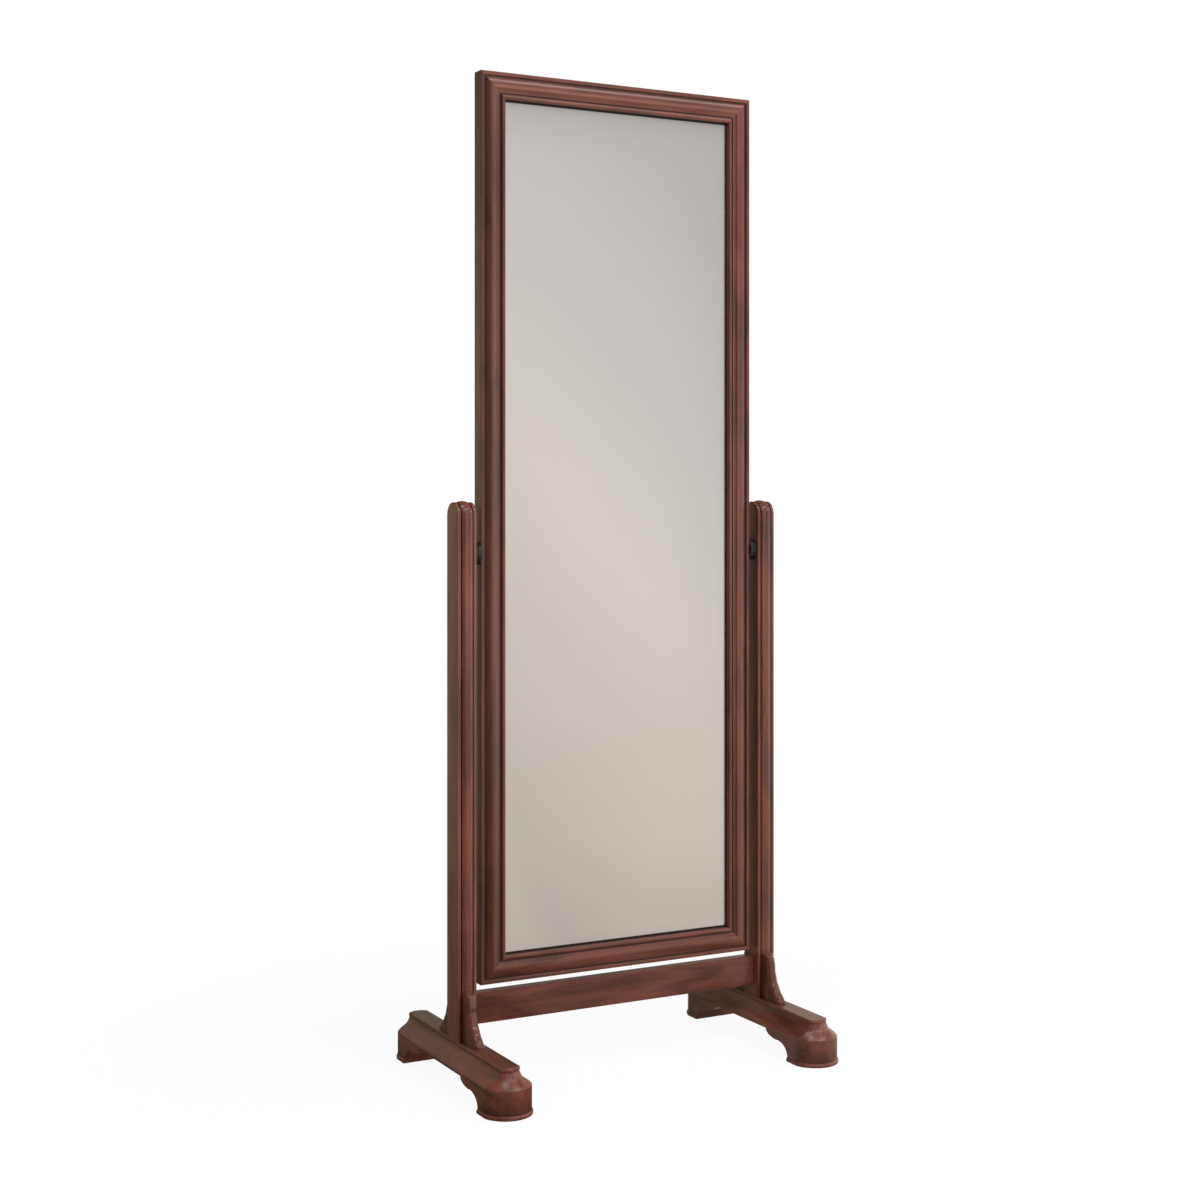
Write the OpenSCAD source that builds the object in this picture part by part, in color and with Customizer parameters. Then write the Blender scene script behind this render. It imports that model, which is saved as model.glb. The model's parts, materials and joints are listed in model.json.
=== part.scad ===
// Cheval mirror: a tall framed mirror that tilts between two posts on moulded feet.
// Millimetres. The origin is on the floor under the middle of the mirror.
// X runs to the viewer's right, Y to the back and Z up; the glass faces -Y.

/* [Mirror frame] */
// Height of the mirror frame
frame_h = 1625; // [1200:5:1800]
// Width of the mirror frame
frame_w = 564; // [420:2:700]
// Thickness of the frame, from its outer strip to its back
frame_t = 28; // [25:0.5:36]
// Width of the frame's moulding
moulding_w = 49.5; // [46:0.5:60]
// Width of the flat strip along the moulding's outer edge
strip_w = 7.7; // [5:0.1:9]
// Radius of the strip's rounded edges
strip_edge_r = 1.6; // [0.6:0.1:2.4]
// Width of each quirk, the narrow groove between two members of a moulding
quirk_w = 1.5; // [1:0.1:2.2]
// Depth of the outer quirk below the strip
quirk_d = 3; // [2:0.1:4]
// Width of the wider quirk beside the inner bead
inner_quirk_w = 2.3; // [1:0.1:3]
// Depth of that quirk below the end of the ogee
inner_quirk_d = 1.5; // [0.5:0.1:2.5]
// Width of the cushion, the broad rounded member between the outer quirk and the ridge
cushion_w = 18.5; // [14:0.5:22]
// How far the cushion starts below the strip
cushion_drop = 2; // [1:0.1:2.6]
// How far the ridge stands in front of the strip
ridge_proud = 2.5; // [0.5:0.1:4]
// Depth below the strip at which the ogee ends
ogee_drop = 3.2; // [2:0.1:4]
// Width of the rounded bead beside the glass
inner_bead_w = 8.6; // [6:0.1:10]
// Height of that bead
inner_bead_h = 3.2; // [2:0.1:4]
// How far the bead's crest lies behind the strip
inner_bead_back = 0.4; // [0:0.1:2]

/* [Glass and back] */
// Depth from the frame's outer strip to the face of the glass
glass_setback = 8; // [7:0.5:12]
// Thickness of the mirror glass
glass_t = 4; // [3:0.5:6]
// Width of the rebate that holds the glass
rebate_w = 8; // [6:0.5:10]
// Play around the glass in its rebate
glass_play = 1.5; // [1:0.1:2]
// Thickness of the backing board
board_t = 4; // [3:0.5:5]
// Width of the battens that hold the board in
batten_w = 14; // [12:0.5:20]
// Diameter of the batten screws
screw_d = 3.5; // [3:0.1:4.5]
// Length of the batten screws
screw_l = 30; // [24:1:34]
// Widest spacing of the batten screws
screw_pitch = 380; // [200:10:500]
// Length of the two blocks that the glass stands on
setting_block_l = 40; // [25:5:80]
// Thickness of the keys across the frame's mitres
key_t = 4; // [3:0.5:6]
// Length of each key across the mitre
key_l = 30; // [20:1:32]
// Width of each key along the mitre
key_w = 18; // [12:1:20]

/* [Pivot] */
// Height of the pivot above the frame's lower edge
pivot_up = 766; // [560:1:880]
// Gap between the frame and each post
side_gap = 13; // [12:0.5:20]
// Diameter of the two black discs that fill the gap
disc_d = 40; // [36:1:44]
// Thickness of the bush's flange
flange_t = 5.5; // [4:0.1:6.5]
// Diameter of the pivot stud
stud_d = 10; // [8:0.5:12]
// Outer diameter of the bush in the post
bush_d = 16; // [14:0.5:20]
// Depth of the bush in the post
bush_l = 25; // [18:0.5:27]
// Outer diameter of the threaded insert in the frame
insert_d = 14; // [13:0.5:16]
// Length of that insert
insert_l = 22; // [16:0.5:26]
// Free height of the disc spring
spring_h = 2; // [1.6:0.1:2.4]
// Thickness of the disc spring's metal
spring_t = 1.2; // [0.8:0.1:1.4]
// Outer diameter of the disc spring
spring_d = 32; // [28:0.5:33]
// Thickness of the friction washer
friction_t = 1.5; // [1:0.1:2]

/* [Posts] */
// Thickness of a post, across the mirror
post_t = 36.4; // [32:0.2:50]
// Depth of a post between its flat strips
post_d = 47.6; // [42:0.2:60]
// Height of a post's round top above the pivot
post_over_pivot = 91.5; // [60:0.5:140]
// Width of the flat strip at each edge of a post's face
post_strip_w = 6; // [4:0.1:8]
// Depth of the quirks in a post's face
post_quirk_d = 2.2; // [1:0.1:4]
// How far the bead on a post's face stands proud of the strips
post_bead_proud = 2.3; // [1:0.1:4]

/* [Stretcher] */
// Height of the stretcher's lower edge above the floor
stretcher_z = 106; // [95:1:200]
// Height of the stretcher board
stretcher_h = 56; // [40:1:90]
// Thickness of the stretcher board
stretcher_t = 18; // [16:0.5:25]
// Gap between the stretcher and the mirror frame above it
swing_gap = 13; // [8:0.5:30]
// Diameter of the stretcher's dowels
dowel_d = 8; // [6:0.5:10]
// Length of the stretcher's dowels
dowel_l = 50; // [30:1:60]

/* [Feet] */
// Length of a foot over its base bead
foot_l = 459; // [380:1:560]
// Width of a foot's block
foot_w = 84; // [76:0.5:110]
// Height of the foot, from the floor to its cap's top
foot_h = 83; // [78:0.5:100]
// Height of the block's upper edge above the floor
block_h = 53; // [51:0.5:56]
// Radius of a block's bowed end
end_r = 44; // [43:0.5:60]
// Thickness of the cap
cap_t = 6; // [5:0.5:9]
// How far the cap is wider than the post on each side
cap_lap = 0.5; // [0:0.1:3]
// Radius along the cap's edges
cap_edge_r = 1.6; // [0.8:0.1:2.4]
// How far the cap's bowed end lies behind the block's
cap_back = 19.5; // [16:0.5:26]
// How far the neck under the cap lies inside the cap's edge
neck_in = 1.2; // [0.5:0.1:3]
// Height of the base bead's top above the floor
base_bead_h = 12; // [8:0.5:16]
// How far the base bead stands proud of the block
base_bead_proud = 3.5; // [2:0.1:5]
// Height of the foot's arch
arch_h = 45.5; // [42:0.5:47]
// Length of the arch's flat top
arch_flat = 178; // [140:1:190]
// Length of a toe on the floor
toe_l = 67.5; // [64:0.5:76]
// Length of the cove beside a toe
cove_l = 32; // [24:1:36]
// Rise of that cove
cove_rise = 24.5; // [18:0.5:26]
// Height above the floor at which the cove starts
cove_z = 8; // [6:0.5:12]
// Width of the flat nib between the cove and the arch's rounded shoulder
nib_w = 6; // [3:0.5:10]
// Thickness of the felt glides
glide_t = 1.5; // [1:0.1:3]
// Diameter of the felt glides
glide_d = 25; // [16:1:32]

/* [Brackets] */
// Width of a bracket
bracket_w = 20; // [16:0.5:21]
// Height of a bracket above the cap
bracket_h = 85; // [60:1:110]
// Reach of a bracket's toe from the post's strip
bracket_l = 59; // [48:1:70]
// Reach of a bracket's shoulder from the post's strip
shoulder_l = 21; // [16:0.5:26]
// Share of its size by which a bracket's sides are rounded back
bracket_round = 0.13; // [0.05:0.01:0.2]
// Diameter of the dowels in the brackets
peg_d = 6; // [5:0.5:8]
// Length of the dowels in the brackets
peg_l = 24; // [18:1:30]

/* [Foot bolts] */
// Diameter of the bolts that hold a post on its foot
bolt_d = 8; // [6:0.5:9]
// How far those bolts reach into the post's end
bolt_reach = 23; // [16:1:30]
// Spacing of the two bolts under a post
bolt_pitch = 26; // [22:0.5:28]
// Diameter of a bolt's head
bolt_head_d = 13; // [11:0.5:14]
// Height of a bolt's head
bolt_head_h = 8; // [5:0.5:8]
// Diameter of the washers under the heads
bolt_washer_d = 18; // [16:0.5:20]
// Thickness of those washers
bolt_washer_t = 1.6; // [1:0.1:2]
// Outer diameter of the threaded inserts in the post's end
post_insert_d = 12; // [11:0.5:13]
// Length of the threaded inserts in the post's end
post_insert_l = 20; // [14:0.5:22]

/* [Hidden] */
// Play between pieces that are glued or screwed together
glue_gap = 0.05;
// Radial play of the stud in its bush
run_gap = 0.05;
// Clearance between pieces that turn against each other
turn_gap = 0.1;
// Side clearance between round pieces on the stand and on the mirror
free_gap = 0.35;
// Overrun of a cut past the face that it starts from
over = 1;
// How much deeper a blind hole is than what it holds
hole_extra = 1;
$fn = 64;

// Places
frame_bottom = stretcher_z + stretcher_h + swing_gap;
frame_top = frame_bottom + frame_h;
pivot_z = frame_bottom + pivot_up;
post_in = frame_w / 2 + side_gap;
post_x = post_in + post_t / 2;
post_round_r = post_d / 2;
post_round_z = pivot_z + post_over_pivot - post_round_r;
front_y = -frame_t / 2;
back_y = frame_t / 2;
glass_y = front_y + glass_setback;
board_y = glass_y + glass_t;
batten_y = board_y + board_t;
batten_d = back_y - batten_y;
rebate_u = moulding_w - rebate_w;
bay_w = frame_w - 2 * rebate_u;
bay_h = frame_h - 2 * rebate_u;

// The frame's moulding
cushion_u = strip_w + quirk_w;
ridge_u = cushion_u + cushion_w;
ridge_r = 0.8;
bead_u = moulding_w - inner_bead_w;
ogee_u = bead_u - inner_quirk_w;
ogee_y = front_y + ogee_drop;
// The angle on its ellipse at which the cushion starts
cushion_start = 25;
cushion_a = cushion_w / cos(cushion_start);
cushion_b = (cushion_drop + ridge_proud) / (1 - sin(cushion_start));

// The post's face
post_quirk_x = post_t / 2 - post_strip_w - quirk_w / 2;
post_bead_w = post_t - 2 * (post_strip_w + quirk_w);
post_bead_r = (pow(post_bead_w / 2, 2) + pow(post_bead_proud, 2)) / (2 * post_bead_proud);
post_bead_y = post_d / 2 + post_bead_proud - post_bead_r;

// The foot
cap_w = post_t + 2 * cap_lap;
cap_z = foot_h - cap_t;
neck_inset = foot_w / 2 - cap_w / 2 + neck_in;
end_y = foot_l / 2 - base_bead_proud - end_r;
end_share = cap_back / (foot_w / 2 - cap_w / 2);
bead_mid_z = (base_bead_h + glide_t / 2) / 2;
bead_half_h = base_bead_h - bead_mid_z;
bead_start = asin((glide_t - bead_mid_z) / bead_half_h);
// Where the foot's ogee turns from round to hollow
ogee_in = 0.41 * neck_inset;
ogee_up = 0.37 * (cap_z - block_h);
toe_in_y = foot_l / 2 - toe_l;
cove_y = toe_in_y - cove_l;
nib_y = cove_y - nib_w;
nib_z = cove_z + cove_rise;
nib_t = 0.5;
glide_margin = 3;
glide_x = foot_w / 2 - glide_d / 2 - glide_margin;
glide_y = (toe_in_y + end_y + end_r) / 2;

// The brackets and their dowels
bracket_slices = 10;
peg_up = 0.55 * bracket_h;
peg_in_bracket = 11;
peg_cover = 1.5;
peg_in_cap = cap_t - peg_cover;
peg_y = post_d / 2 + 0.3 * bracket_l;

// The pivot
disc_rim = 3;
disc_t = side_gap - flange_t - turn_gap;
recess_d = spring_h + friction_t - turn_gap;
recess_r = disc_d / 2 - disc_rim;
friction_r = recess_r - free_gap;
stud_short = 2;
stud_end = side_gap + bush_l - stud_short;
stud_slot_w = 1.6;
stud_slot_d = 2.5;

// The foot bolts
head_cover = 1;
head_z = arch_h + head_cover;
seat_z = head_z + bolt_head_h + bolt_washer_t;
bolt_top = foot_h + bolt_reach;
bolt_play = 0.5;
// Width of the hexagon socket in a bolt's head, as a share of the head
socket_share = 0.53;

// The stretcher's dowels, as shares of its height
dowel_shares = [0.25, 0.75];

// The keys' middles, as a share of the moulding's width in from the frame's corner
key_share = 0.44;

// The outermost screws' distance from the ends of the bay for the glass
screw_end_z = 80;
screw_end_x = 120;

// Colours
mahogany = "#6b4336";
mahogany_dark = "#5a372c";
beech = "#c9a678";
hardboard = "#6e5136";
silvered = "#c3bbb4";
zinc = "#a9acae";
brass = "#b5944b";
black_nylon = "#1b1a1a";
fibre = "#3a2a22";
felt = "#3c3733";
rubber = "#2a2a2a";

// Curves
function ellipse_arc(c, a, b, from, to, n) =
    [for (i = [0:n]) let (t = from + (to - from) * i / n) [c[0] + a * cos(t), c[1] + b * sin(t)]];

function bezier(p, t) =
    pow(1 - t, 3) * p[0] + 3 * t * pow(1 - t, 2) * p[1]
    + 3 * t * t * (1 - t) * p[2] + pow(t, 3) * p[3];

function bezier_run(p, n) = [for (i = [0:n]) bezier(p, i / n)];

// Placing
module on_side(side) {
    mirror([side < 0 ? 1 : 0, 0, 0]) children();
}

module along_x() {
    rotate([0, 90, 0]) children();
}

module peg(r, l) {
    translate([0, 0, -l / 2]) cylinder(r = r, h = l);
}

// Feet
function foot_side() = concat(
    [for (p = ellipse_arc([0, bead_mid_z], base_bead_proud, bead_half_h, bead_start, 90, 7)) [-p[0], p[1]]],
    bezier_run([
        [0, block_h], [0, block_h + 0.55 * ogee_up],
        [0.5 * ogee_in, block_h + 0.75 * ogee_up], [ogee_in, block_h + ogee_up]
    ], 6),
    bezier_run([
        [ogee_in, block_h + ogee_up],
        [ogee_in + 0.5 * (neck_inset - ogee_in), block_h + 1.6 * ogee_up],
        [neck_inset, cap_z - 0.5 * (cap_z - block_h - ogee_up)], [neck_inset, cap_z]
    ], 8)
);

function end_inset(inset) = inset < 0 ? inset : inset * end_share;

module foot_across() {
    half = foot_w / 2;
    polygon(concat(
        [for (p = foot_side()) [half - p[0], p[1]]],
        [for (i = [len(foot_side()) - 1:-1:0]) [foot_side()[i][0] - half, foot_side()[i][1]]]
    ));
}

module foot_end() {
    polygon(concat(
        [[0, foot_side()[0][1]]],
        [for (p = foot_side()) [end_r - end_inset(p[0]), p[1]]],
        [[0, cap_z]]
    ));
}

module bowed_ends() {
    translate([-foot_w, -end_y, 0]) cube([2 * foot_w, 2 * end_y, foot_h]);
    for (end = [-1, 1]) translate([0, end * end_y, 0]) children();
}

module along_y(l) {
    translate([0, l / 2, 0]) rotate([90, 0, 0]) linear_extrude(height = l) children();
}

module foot_arch() {
    quarter = concat(
        [[toe_in_y, -over]],
        ellipse_arc([cove_y, cove_z], cove_l, cove_rise, 0, 90, 12),
        ellipse_arc([nib_y, arch_h], arch_flat / 2 - nib_y, nib_z - arch_h - nib_t, 90, 0, 10)
    );
    rotate([90, 0, 90]) translate([0, 0, -foot_w]) linear_extrude(height = 2 * foot_w)
        polygon(concat(quarter, [for (i = [len(quarter) - 1:-1:0]) [-quarter[i][0], quarter[i][1]]]));
}

module at_bolts() {
    for (side = [-1, 1]) translate([0, side * bolt_pitch / 2, 0]) children();
}

module foot() {
    color(mahogany_dark) translate([post_x, 0, 0]) difference() {
        intersection() {
            along_y(foot_l) foot_across();
            bowed_ends() rotate_extrude() foot_end();
        }
        foot_arch();
        at_bolts() {
            cylinder(r = bolt_d / 2 + glue_gap, h = foot_h);
            cylinder(r = bolt_washer_d / 2 + glue_gap, h = seat_z);
        }
    }
}

function cap_edge(half) = concat(
    ellipse_arc([half - cap_edge_r, cap_z + cap_edge_r], cap_edge_r, cap_edge_r, -90, 0, 4),
    ellipse_arc([half - cap_edge_r, foot_h - cap_edge_r], cap_edge_r, cap_edge_r, 0, 90, 4)
);

module cap_across() {
    edge = cap_edge(cap_w / 2);
    polygon(concat(edge, [for (i = [len(edge) - 1:-1:0]) [-edge[i][0], edge[i][1]]]));
}

module foot_cap() {
    color(mahogany) translate([post_x, 0, 0]) difference() {
        intersection() {
            along_y(foot_l) cap_across();
            bowed_ends() rotate_extrude()
                polygon(concat([[0, cap_z]], cap_edge(end_r - cap_back), [[0, foot_h]]));
        }
        at_bolts() cylinder(r = bolt_d / 2 + glue_gap, h = foot_h + over);
        for (end = [-1, 1]) translate([0, end * peg_y, foot_h]) peg(peg_d / 2 + glue_gap, 2 * peg_in_cap);
    }
}

module foot_glides() {
    color(felt) for (across = [-1, 1], end = [-1, 1])
        translate([post_x + across * glide_x, end * glide_y, 0]) cylinder(d = glide_d, h = glide_t);
}

// Posts
module post_face_beads() {
    for (face = [-1, 1]) intersection() {
        translate([0, face * post_bead_y]) circle(r = post_bead_r, $fn = 128);
        translate([0, face * post_d / 2]) square([post_bead_w, post_d], center = true);
    }
}

module post_section() {
    difference() {
        union() {
            square([post_t, post_d], center = true);
            post_face_beads();
        }
        for (face = [-1, 1], edge = [-1, 1]) translate([edge * post_quirk_x, face * post_d / 2])
            square([quirk_w, 2 * post_quirk_d], center = true);
    }
}

module post_round_top() {
    rotate([0, 90, 0]) rotate([0, 0, 90]) rotate_extrude(angle = 180, $fn = 128) intersection() {
        rotate(90) post_section();
        translate([0, -post_t]) square([post_d, 2 * post_t]);
    }
}

module at_stretcher_dowels() {
    for (share = dowel_shares) translate([post_in, 0, stretcher_z + share * stretcher_h])
        along_x() children();
}

module stretcher_dowel_holes() {
    at_stretcher_dowels() peg(dowel_d / 2 + glue_gap, dowel_l + hole_extra);
}

module post() {
    color(mahogany) difference() {
        union() {
            translate([post_x, 0, foot_h]) linear_extrude(height = post_round_z - foot_h) post_section();
            translate([post_x, 0, post_round_z]) post_round_top();
        }
        translate([post_in - over, 0, pivot_z]) along_x()
            cylinder(r = bush_d / 2 + glue_gap, h = over + bush_l + hole_extra);
        stretcher_dowel_holes();
        translate([post_x, 0, foot_h]) at_bolts() {
            peg(post_insert_d / 2 + glue_gap, 2 * post_insert_l);
            peg(bolt_d / 2 + bolt_play, 2 * (bolt_reach + 2 * hole_extra));
        }
        for (face = [-1, 1]) translate([post_x, face * post_d / 2, foot_h + peg_up])
            rotate([90, 0, 0]) peg(peg_d / 2 + glue_gap, 2 * (peg_l - peg_in_bracket) + hole_extra);
    }
}

// Brackets
function bracket_outline() =
    let (l = bracket_l, h = bracket_h, s = shoulder_l)
    concat(
        bezier_run([[0, h], [0.62 * s, h], [0.93 * s, 0.93 * h], [0.98 * s, 0.76 * h]], 8),
        bezier_run([[0.98 * s, 0.76 * h], [s + 0.03 * l, 0.5 * h], [s + 0.15 * l, 0.27 * h],
                    [0.96 * l, 0.07 * h]], 10),
        bezier_run([[0.96 * l, 0.07 * h], [0.99 * l, 0.055 * h], [l, 0.03 * h], [0.975 * l, 0]], 4)
    );

bracket_curve = [for (i = [0:len(bracket_outline()) - 1])
    if (i == 0 || norm(bracket_outline()[i] - bracket_outline()[i - 1]) > 0.01) bracket_outline()[i]];

// Where the post's bead lies behind a bracket, at a distance across it
function bead_at(x) = post_bead_y + sqrt(pow(post_bead_r + glue_gap, 2) - x * x) - post_d / 2;

// One slice of the bracket for each place across it, drawn in towards both sides
module bracket_blank() {
    n = len(bracket_curve) + 1;
    side_angle = 78;
    function across(j) = 2 * j / bracket_slices - 1;
    function share(j) = 1 - bracket_round * (1 - sqrt(1 - pow(sin(side_angle) * across(j), 2)));
    points = [for (j = [0:bracket_slices], i = [0:n - 1])
        let (x = across(j) * bracket_w / 2, p = i == 0 ? [0, 0] : share(j) * bracket_curve[i - 1])
        [x, post_d / 2 + max(bead_at(x), p[0]), p[1]]];
    skin = [for (j = [0:bracket_slices - 1], i = [0:n - 1], half = [0, 1])
        let (a = j * n + i, b = j * n + (i + 1) % n, c = a + n, d = b + n)
        half == 0 ? [a, c, b] : [b, c, d]];
    first = [for (i = [0:n - 1]) i];
    last = [for (i = [n - 1:-1:0]) bracket_slices * n + i];
    polyhedron(points = points, faces = concat(skin, [first], [last]));
}

module bracket(face) {
    r = peg_d / 2 + glue_gap;
    color(mahogany) translate([post_x, 0, foot_h]) mirror([0, face < 0 ? 1 : 0, 0]) difference() {
        bracket_blank();
        translate([0, post_d / 2, peg_up]) rotate([90, 0, 0]) peg(r, 2 * peg_in_bracket + hole_extra);
        translate([0, peg_y, 0]) peg(r, 2 * (peg_l - peg_in_cap) + hole_extra);
    }
}

module bracket_dowels() {
    color(beech) for (side = [-1, 1], face = [-1, 1]) translate([side * post_x, 0, foot_h]) {
        translate([0, face * (post_d / 2 + peg_in_bracket - peg_l / 2), peg_up])
            rotate([90, 0, 0]) peg(peg_d / 2, peg_l);
        translate([0, face * peg_y, peg_l / 2 - peg_in_cap]) peg(peg_d / 2, peg_l);
    }
}

// Stretcher
module stretcher() {
    color(mahogany_dark) difference() {
        translate([-post_in, -stretcher_t / 2, stretcher_z]) cube([2 * post_in, stretcher_t, stretcher_h]);
        for (side = [-1, 1]) on_side(side) stretcher_dowel_holes();
    }
}

module stretcher_dowels() {
    color(beech) for (side = [-1, 1]) on_side(side) at_stretcher_dowels() peg(dowel_d / 2, dowel_l);
}

// Fixings between post and foot
module foot_bolts() {
    color(zinc) for (side = [-1, 1]) translate([side * post_x, 0, 0]) at_bolts() difference() {
        union() {
            translate([0, 0, head_z]) cylinder(d = bolt_d, h = bolt_top - head_z);
            translate([0, 0, head_z]) cylinder(d = bolt_head_d, h = bolt_head_h);
        }
        translate([0, 0, head_z - over])
            cylinder(d = socket_share * bolt_head_d, h = bolt_head_h / 2 + over, $fn = 6);
    }
}

module foot_bolt_washers() {
    color(zinc) for (side = [-1, 1]) translate([side * post_x, 0, seat_z - bolt_washer_t]) at_bolts()
        difference() {
            cylinder(d = bolt_washer_d, h = bolt_washer_t);
            translate([0, 0, -over]) cylinder(r = bolt_d / 2 + bolt_play, h = bolt_washer_t + 2 * over);
        }
}

module post_inserts() {
    color(brass) for (side = [-1, 1]) translate([side * post_x, 0, foot_h]) at_bolts() difference() {
        cylinder(d = post_insert_d, h = post_insert_l);
        translate([0, 0, -over]) cylinder(r = bolt_d / 2 + glue_gap, h = post_insert_l + 2 * over);
    }
}

// Pivot, drawn for the right side with its axis along X from the frame's side
module at_pivot(from) {
    translate([frame_w / 2 + from, 0, pivot_z]) along_x() children();
}

module pivot_bush() {
    color(black_nylon) difference() {
        at_pivot(side_gap - flange_t) union() {
            cylinder(d = disc_d, h = flange_t);
            cylinder(d = bush_d, h = flange_t + bush_l);
        }
        at_pivot(0) cylinder(r = stud_d / 2 + run_gap, h = side_gap + bush_l + over);
    }
}

module friction_washer() {
    color(fibre) at_pivot(side_gap - flange_t - friction_t) difference() {
        cylinder(r = friction_r, h = friction_t);
        translate([0, 0, -over]) cylinder(r = stud_d / 2 + free_gap, h = friction_t + 2 * over);
    }
}

module disc_spring() {
    inner = stud_d / 2 + free_gap;
    rise = spring_h - spring_t - turn_gap;
    color(zinc) at_pivot(disc_t - recess_d) rotate_extrude() polygon([
        [inner, rise], [inner, rise + spring_t], [spring_d / 2, spring_t], [spring_d / 2, 0]
    ]);
}

module pivot_disc() {
    color(black_nylon) at_pivot(0) difference() {
        cylinder(d = disc_d, h = disc_t);
        translate([0, 0, disc_t - recess_d]) cylinder(r = recess_r, h = recess_d + over);
        translate([0, 0, -over]) cylinder(r = stud_d / 2 + glue_gap, h = disc_t + 2 * over);
    }
}

module pivot_stud() {
    color(zinc) at_pivot(0) difference() {
        translate([0, 0, -insert_l]) cylinder(d = stud_d, h = insert_l + stud_end);
        translate([-stud_d, -stud_slot_w / 2, stud_end - stud_slot_d])
            cube([2 * stud_d, stud_slot_w, stud_slot_d + over]);
    }
}

module stud_insert() {
    color(brass) at_pivot(-insert_l) difference() {
        cylinder(d = insert_d, h = insert_l);
        translate([0, 0, -over]) cylinder(r = stud_d / 2 + glue_gap, h = insert_l + 2 * over);
    }
}

// Mirror frame
// The moulding's section: the first number runs inwards from the frame's edge, the second is Y
function moulding_outline() = concat(
    ellipse_arc([strip_edge_r, front_y + strip_edge_r], strip_edge_r, strip_edge_r, 180, 270, 3),
    ellipse_arc([strip_w - strip_edge_r, front_y + strip_edge_r], strip_edge_r, strip_edge_r, 270, 360, 3),
    [[strip_w, front_y + quirk_d], [cushion_u, front_y + quirk_d]],
    ellipse_arc([ridge_u, front_y - ridge_proud + cushion_b], cushion_a, cushion_b,
                180 + cushion_start, 270, 8),
    ellipse_arc([ridge_u, front_y - ridge_proud + ridge_r], ridge_r, ridge_r, 290, 350, 2),
    bezier_run([
        [ridge_u + 1.2 * ridge_r, front_y - ridge_proud + ridge_r],
        [ridge_u + 5.5 * ridge_r, front_y - ridge_proud + ridge_r],
        [ridge_u + 5 * ridge_r, ogee_y - ridge_r / 2],
        [ogee_u, ogee_y]
    ], 8),
    [[ogee_u, ogee_y + inner_quirk_d], [bead_u, ogee_y + inner_quirk_d]],
    ellipse_arc([bead_u + inner_bead_w / 2, front_y + inner_bead_back + inner_bead_h],
                inner_bead_w / 2, inner_bead_h, 180, 360, 10),
    [
        [moulding_w, glass_y], [rebate_u, glass_y], [rebate_u, back_y],
        [strip_edge_r, back_y], [0, back_y - strip_edge_r]
    ]
);

// A length of moulding whose outer edge lies along X at z = 0, mitred at both ends
module mitred(l) {
    intersection() {
        translate([-l / 2, 0, 0]) rotate([90, 0, 90]) linear_extrude(height = l)
            polygon([for (p = moulding_outline()) [p[1], p[0]]]);
        translate([0, frame_t, 0]) rotate([90, 0, 0]) linear_extrude(height = 2 * frame_t) polygon([
            [-l / 2, 0], [l / 2, 0], [l / 2 - moulding_w, moulding_w], [moulding_w - l / 2, moulding_w]
        ]);
    }
}

module at_corners() {
    inset = key_share * moulding_w;
    for (side = [-1, 1], end = [-1, 1])
        translate([side * (frame_w / 2 - inset), board_y + batten_d / 2,
                   frame_bottom + frame_h / 2 + end * (frame_h / 2 - inset)])
            rotate([0, -45 * side * end, 0]) children();
}

module frame_keys(play) {
    at_corners() cube([key_w + 2 * play, key_t + 2 * play, key_l + 2 * play], center = true);
}

// Screw places: along the upright battens by height, and along the level ones by X
function spread(l, pitch) = let (n = ceil(l / pitch)) [for (i = [0:n]) -l / 2 + l * i / n];

upright_screws = spread(bay_h - 2 * screw_end_z, screw_pitch);
level_screws = spread(bay_w - 2 * screw_end_x, screw_pitch);

module batten_screw(play) {
    head = screw_d + 2 * play;
    rotate_extrude() polygon([
        [0, 0], [head, 0], [head / 2, head / 2], [head / 2, screw_l - screw_d / 2 + play],
        [0, screw_l + play]
    ]);
}

module frame_screws(play) {
    mid_y = batten_y + batten_d / 2;
    mid_z = frame_bottom + frame_h / 2;
    for (side = [-1, 1], z = upright_screws)
        translate([side * (bay_w / 2 - batten_w), mid_y, mid_z + z]) rotate([0, side * 90, 0])
            batten_screw(play);
    for (end = [-1, 1], x = level_screws)
        translate([x, mid_y, mid_z + end * (bay_h / 2 - batten_w)]) rotate([end < 0 ? 180 : 0, 0, 0])
            batten_screw(play);
}

module frame_member(l, offset_to_edge, turn) {
    color(mahogany) difference() {
        translate([0, 0, frame_bottom + frame_h / 2]) rotate([0, turn, 0])
            translate([0, 0, -offset_to_edge]) mitred(l);
        frame_keys(glue_gap);
        frame_screws(glue_gap);
        for (side = [-1, 1]) on_side(side) at_pivot(-insert_l)
            cylinder(r = insert_d / 2 + glue_gap, h = insert_l + over);
    }
}

module frame_corner_keys() {
    color(beech) frame_keys(0);
}

// Glass and back
module pane(y, t) {
    translate([glass_play - bay_w / 2, y, frame_bottom + rebate_u + glass_play])
        cube([bay_w - 2 * glass_play, t, bay_h - 2 * glass_play]);
}

module mirror_glass() {
    color(silvered) pane(glass_y, glass_t);
}

module backing_board() {
    color(hardboard) pane(board_y, board_t);
}

module glass_setting_blocks() {
    color(rubber) for (side = [-1, 1])
        translate([side * bay_w / 4 - setting_block_l / 2, glass_y, frame_bottom + rebate_u])
            cube([setting_block_l, glass_t + board_t, glass_play]);
}

module upright_batten(side) {
    color(mahogany_dark) difference() {
        translate([side > 0 ? bay_w / 2 - batten_w : -bay_w / 2, batten_y, frame_bottom + rebate_u])
            cube([batten_w, batten_d, bay_h]);
        frame_screws(glue_gap);
    }
}

module level_batten(end) {
    z = end > 0 ? frame_top - rebate_u - batten_w : frame_bottom + rebate_u;
    color(mahogany_dark) difference() {
        translate([batten_w - bay_w / 2, batten_y, z]) cube([bay_w - 2 * batten_w, batten_d, batten_w]);
        frame_screws(glue_gap);
    }
}

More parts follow.
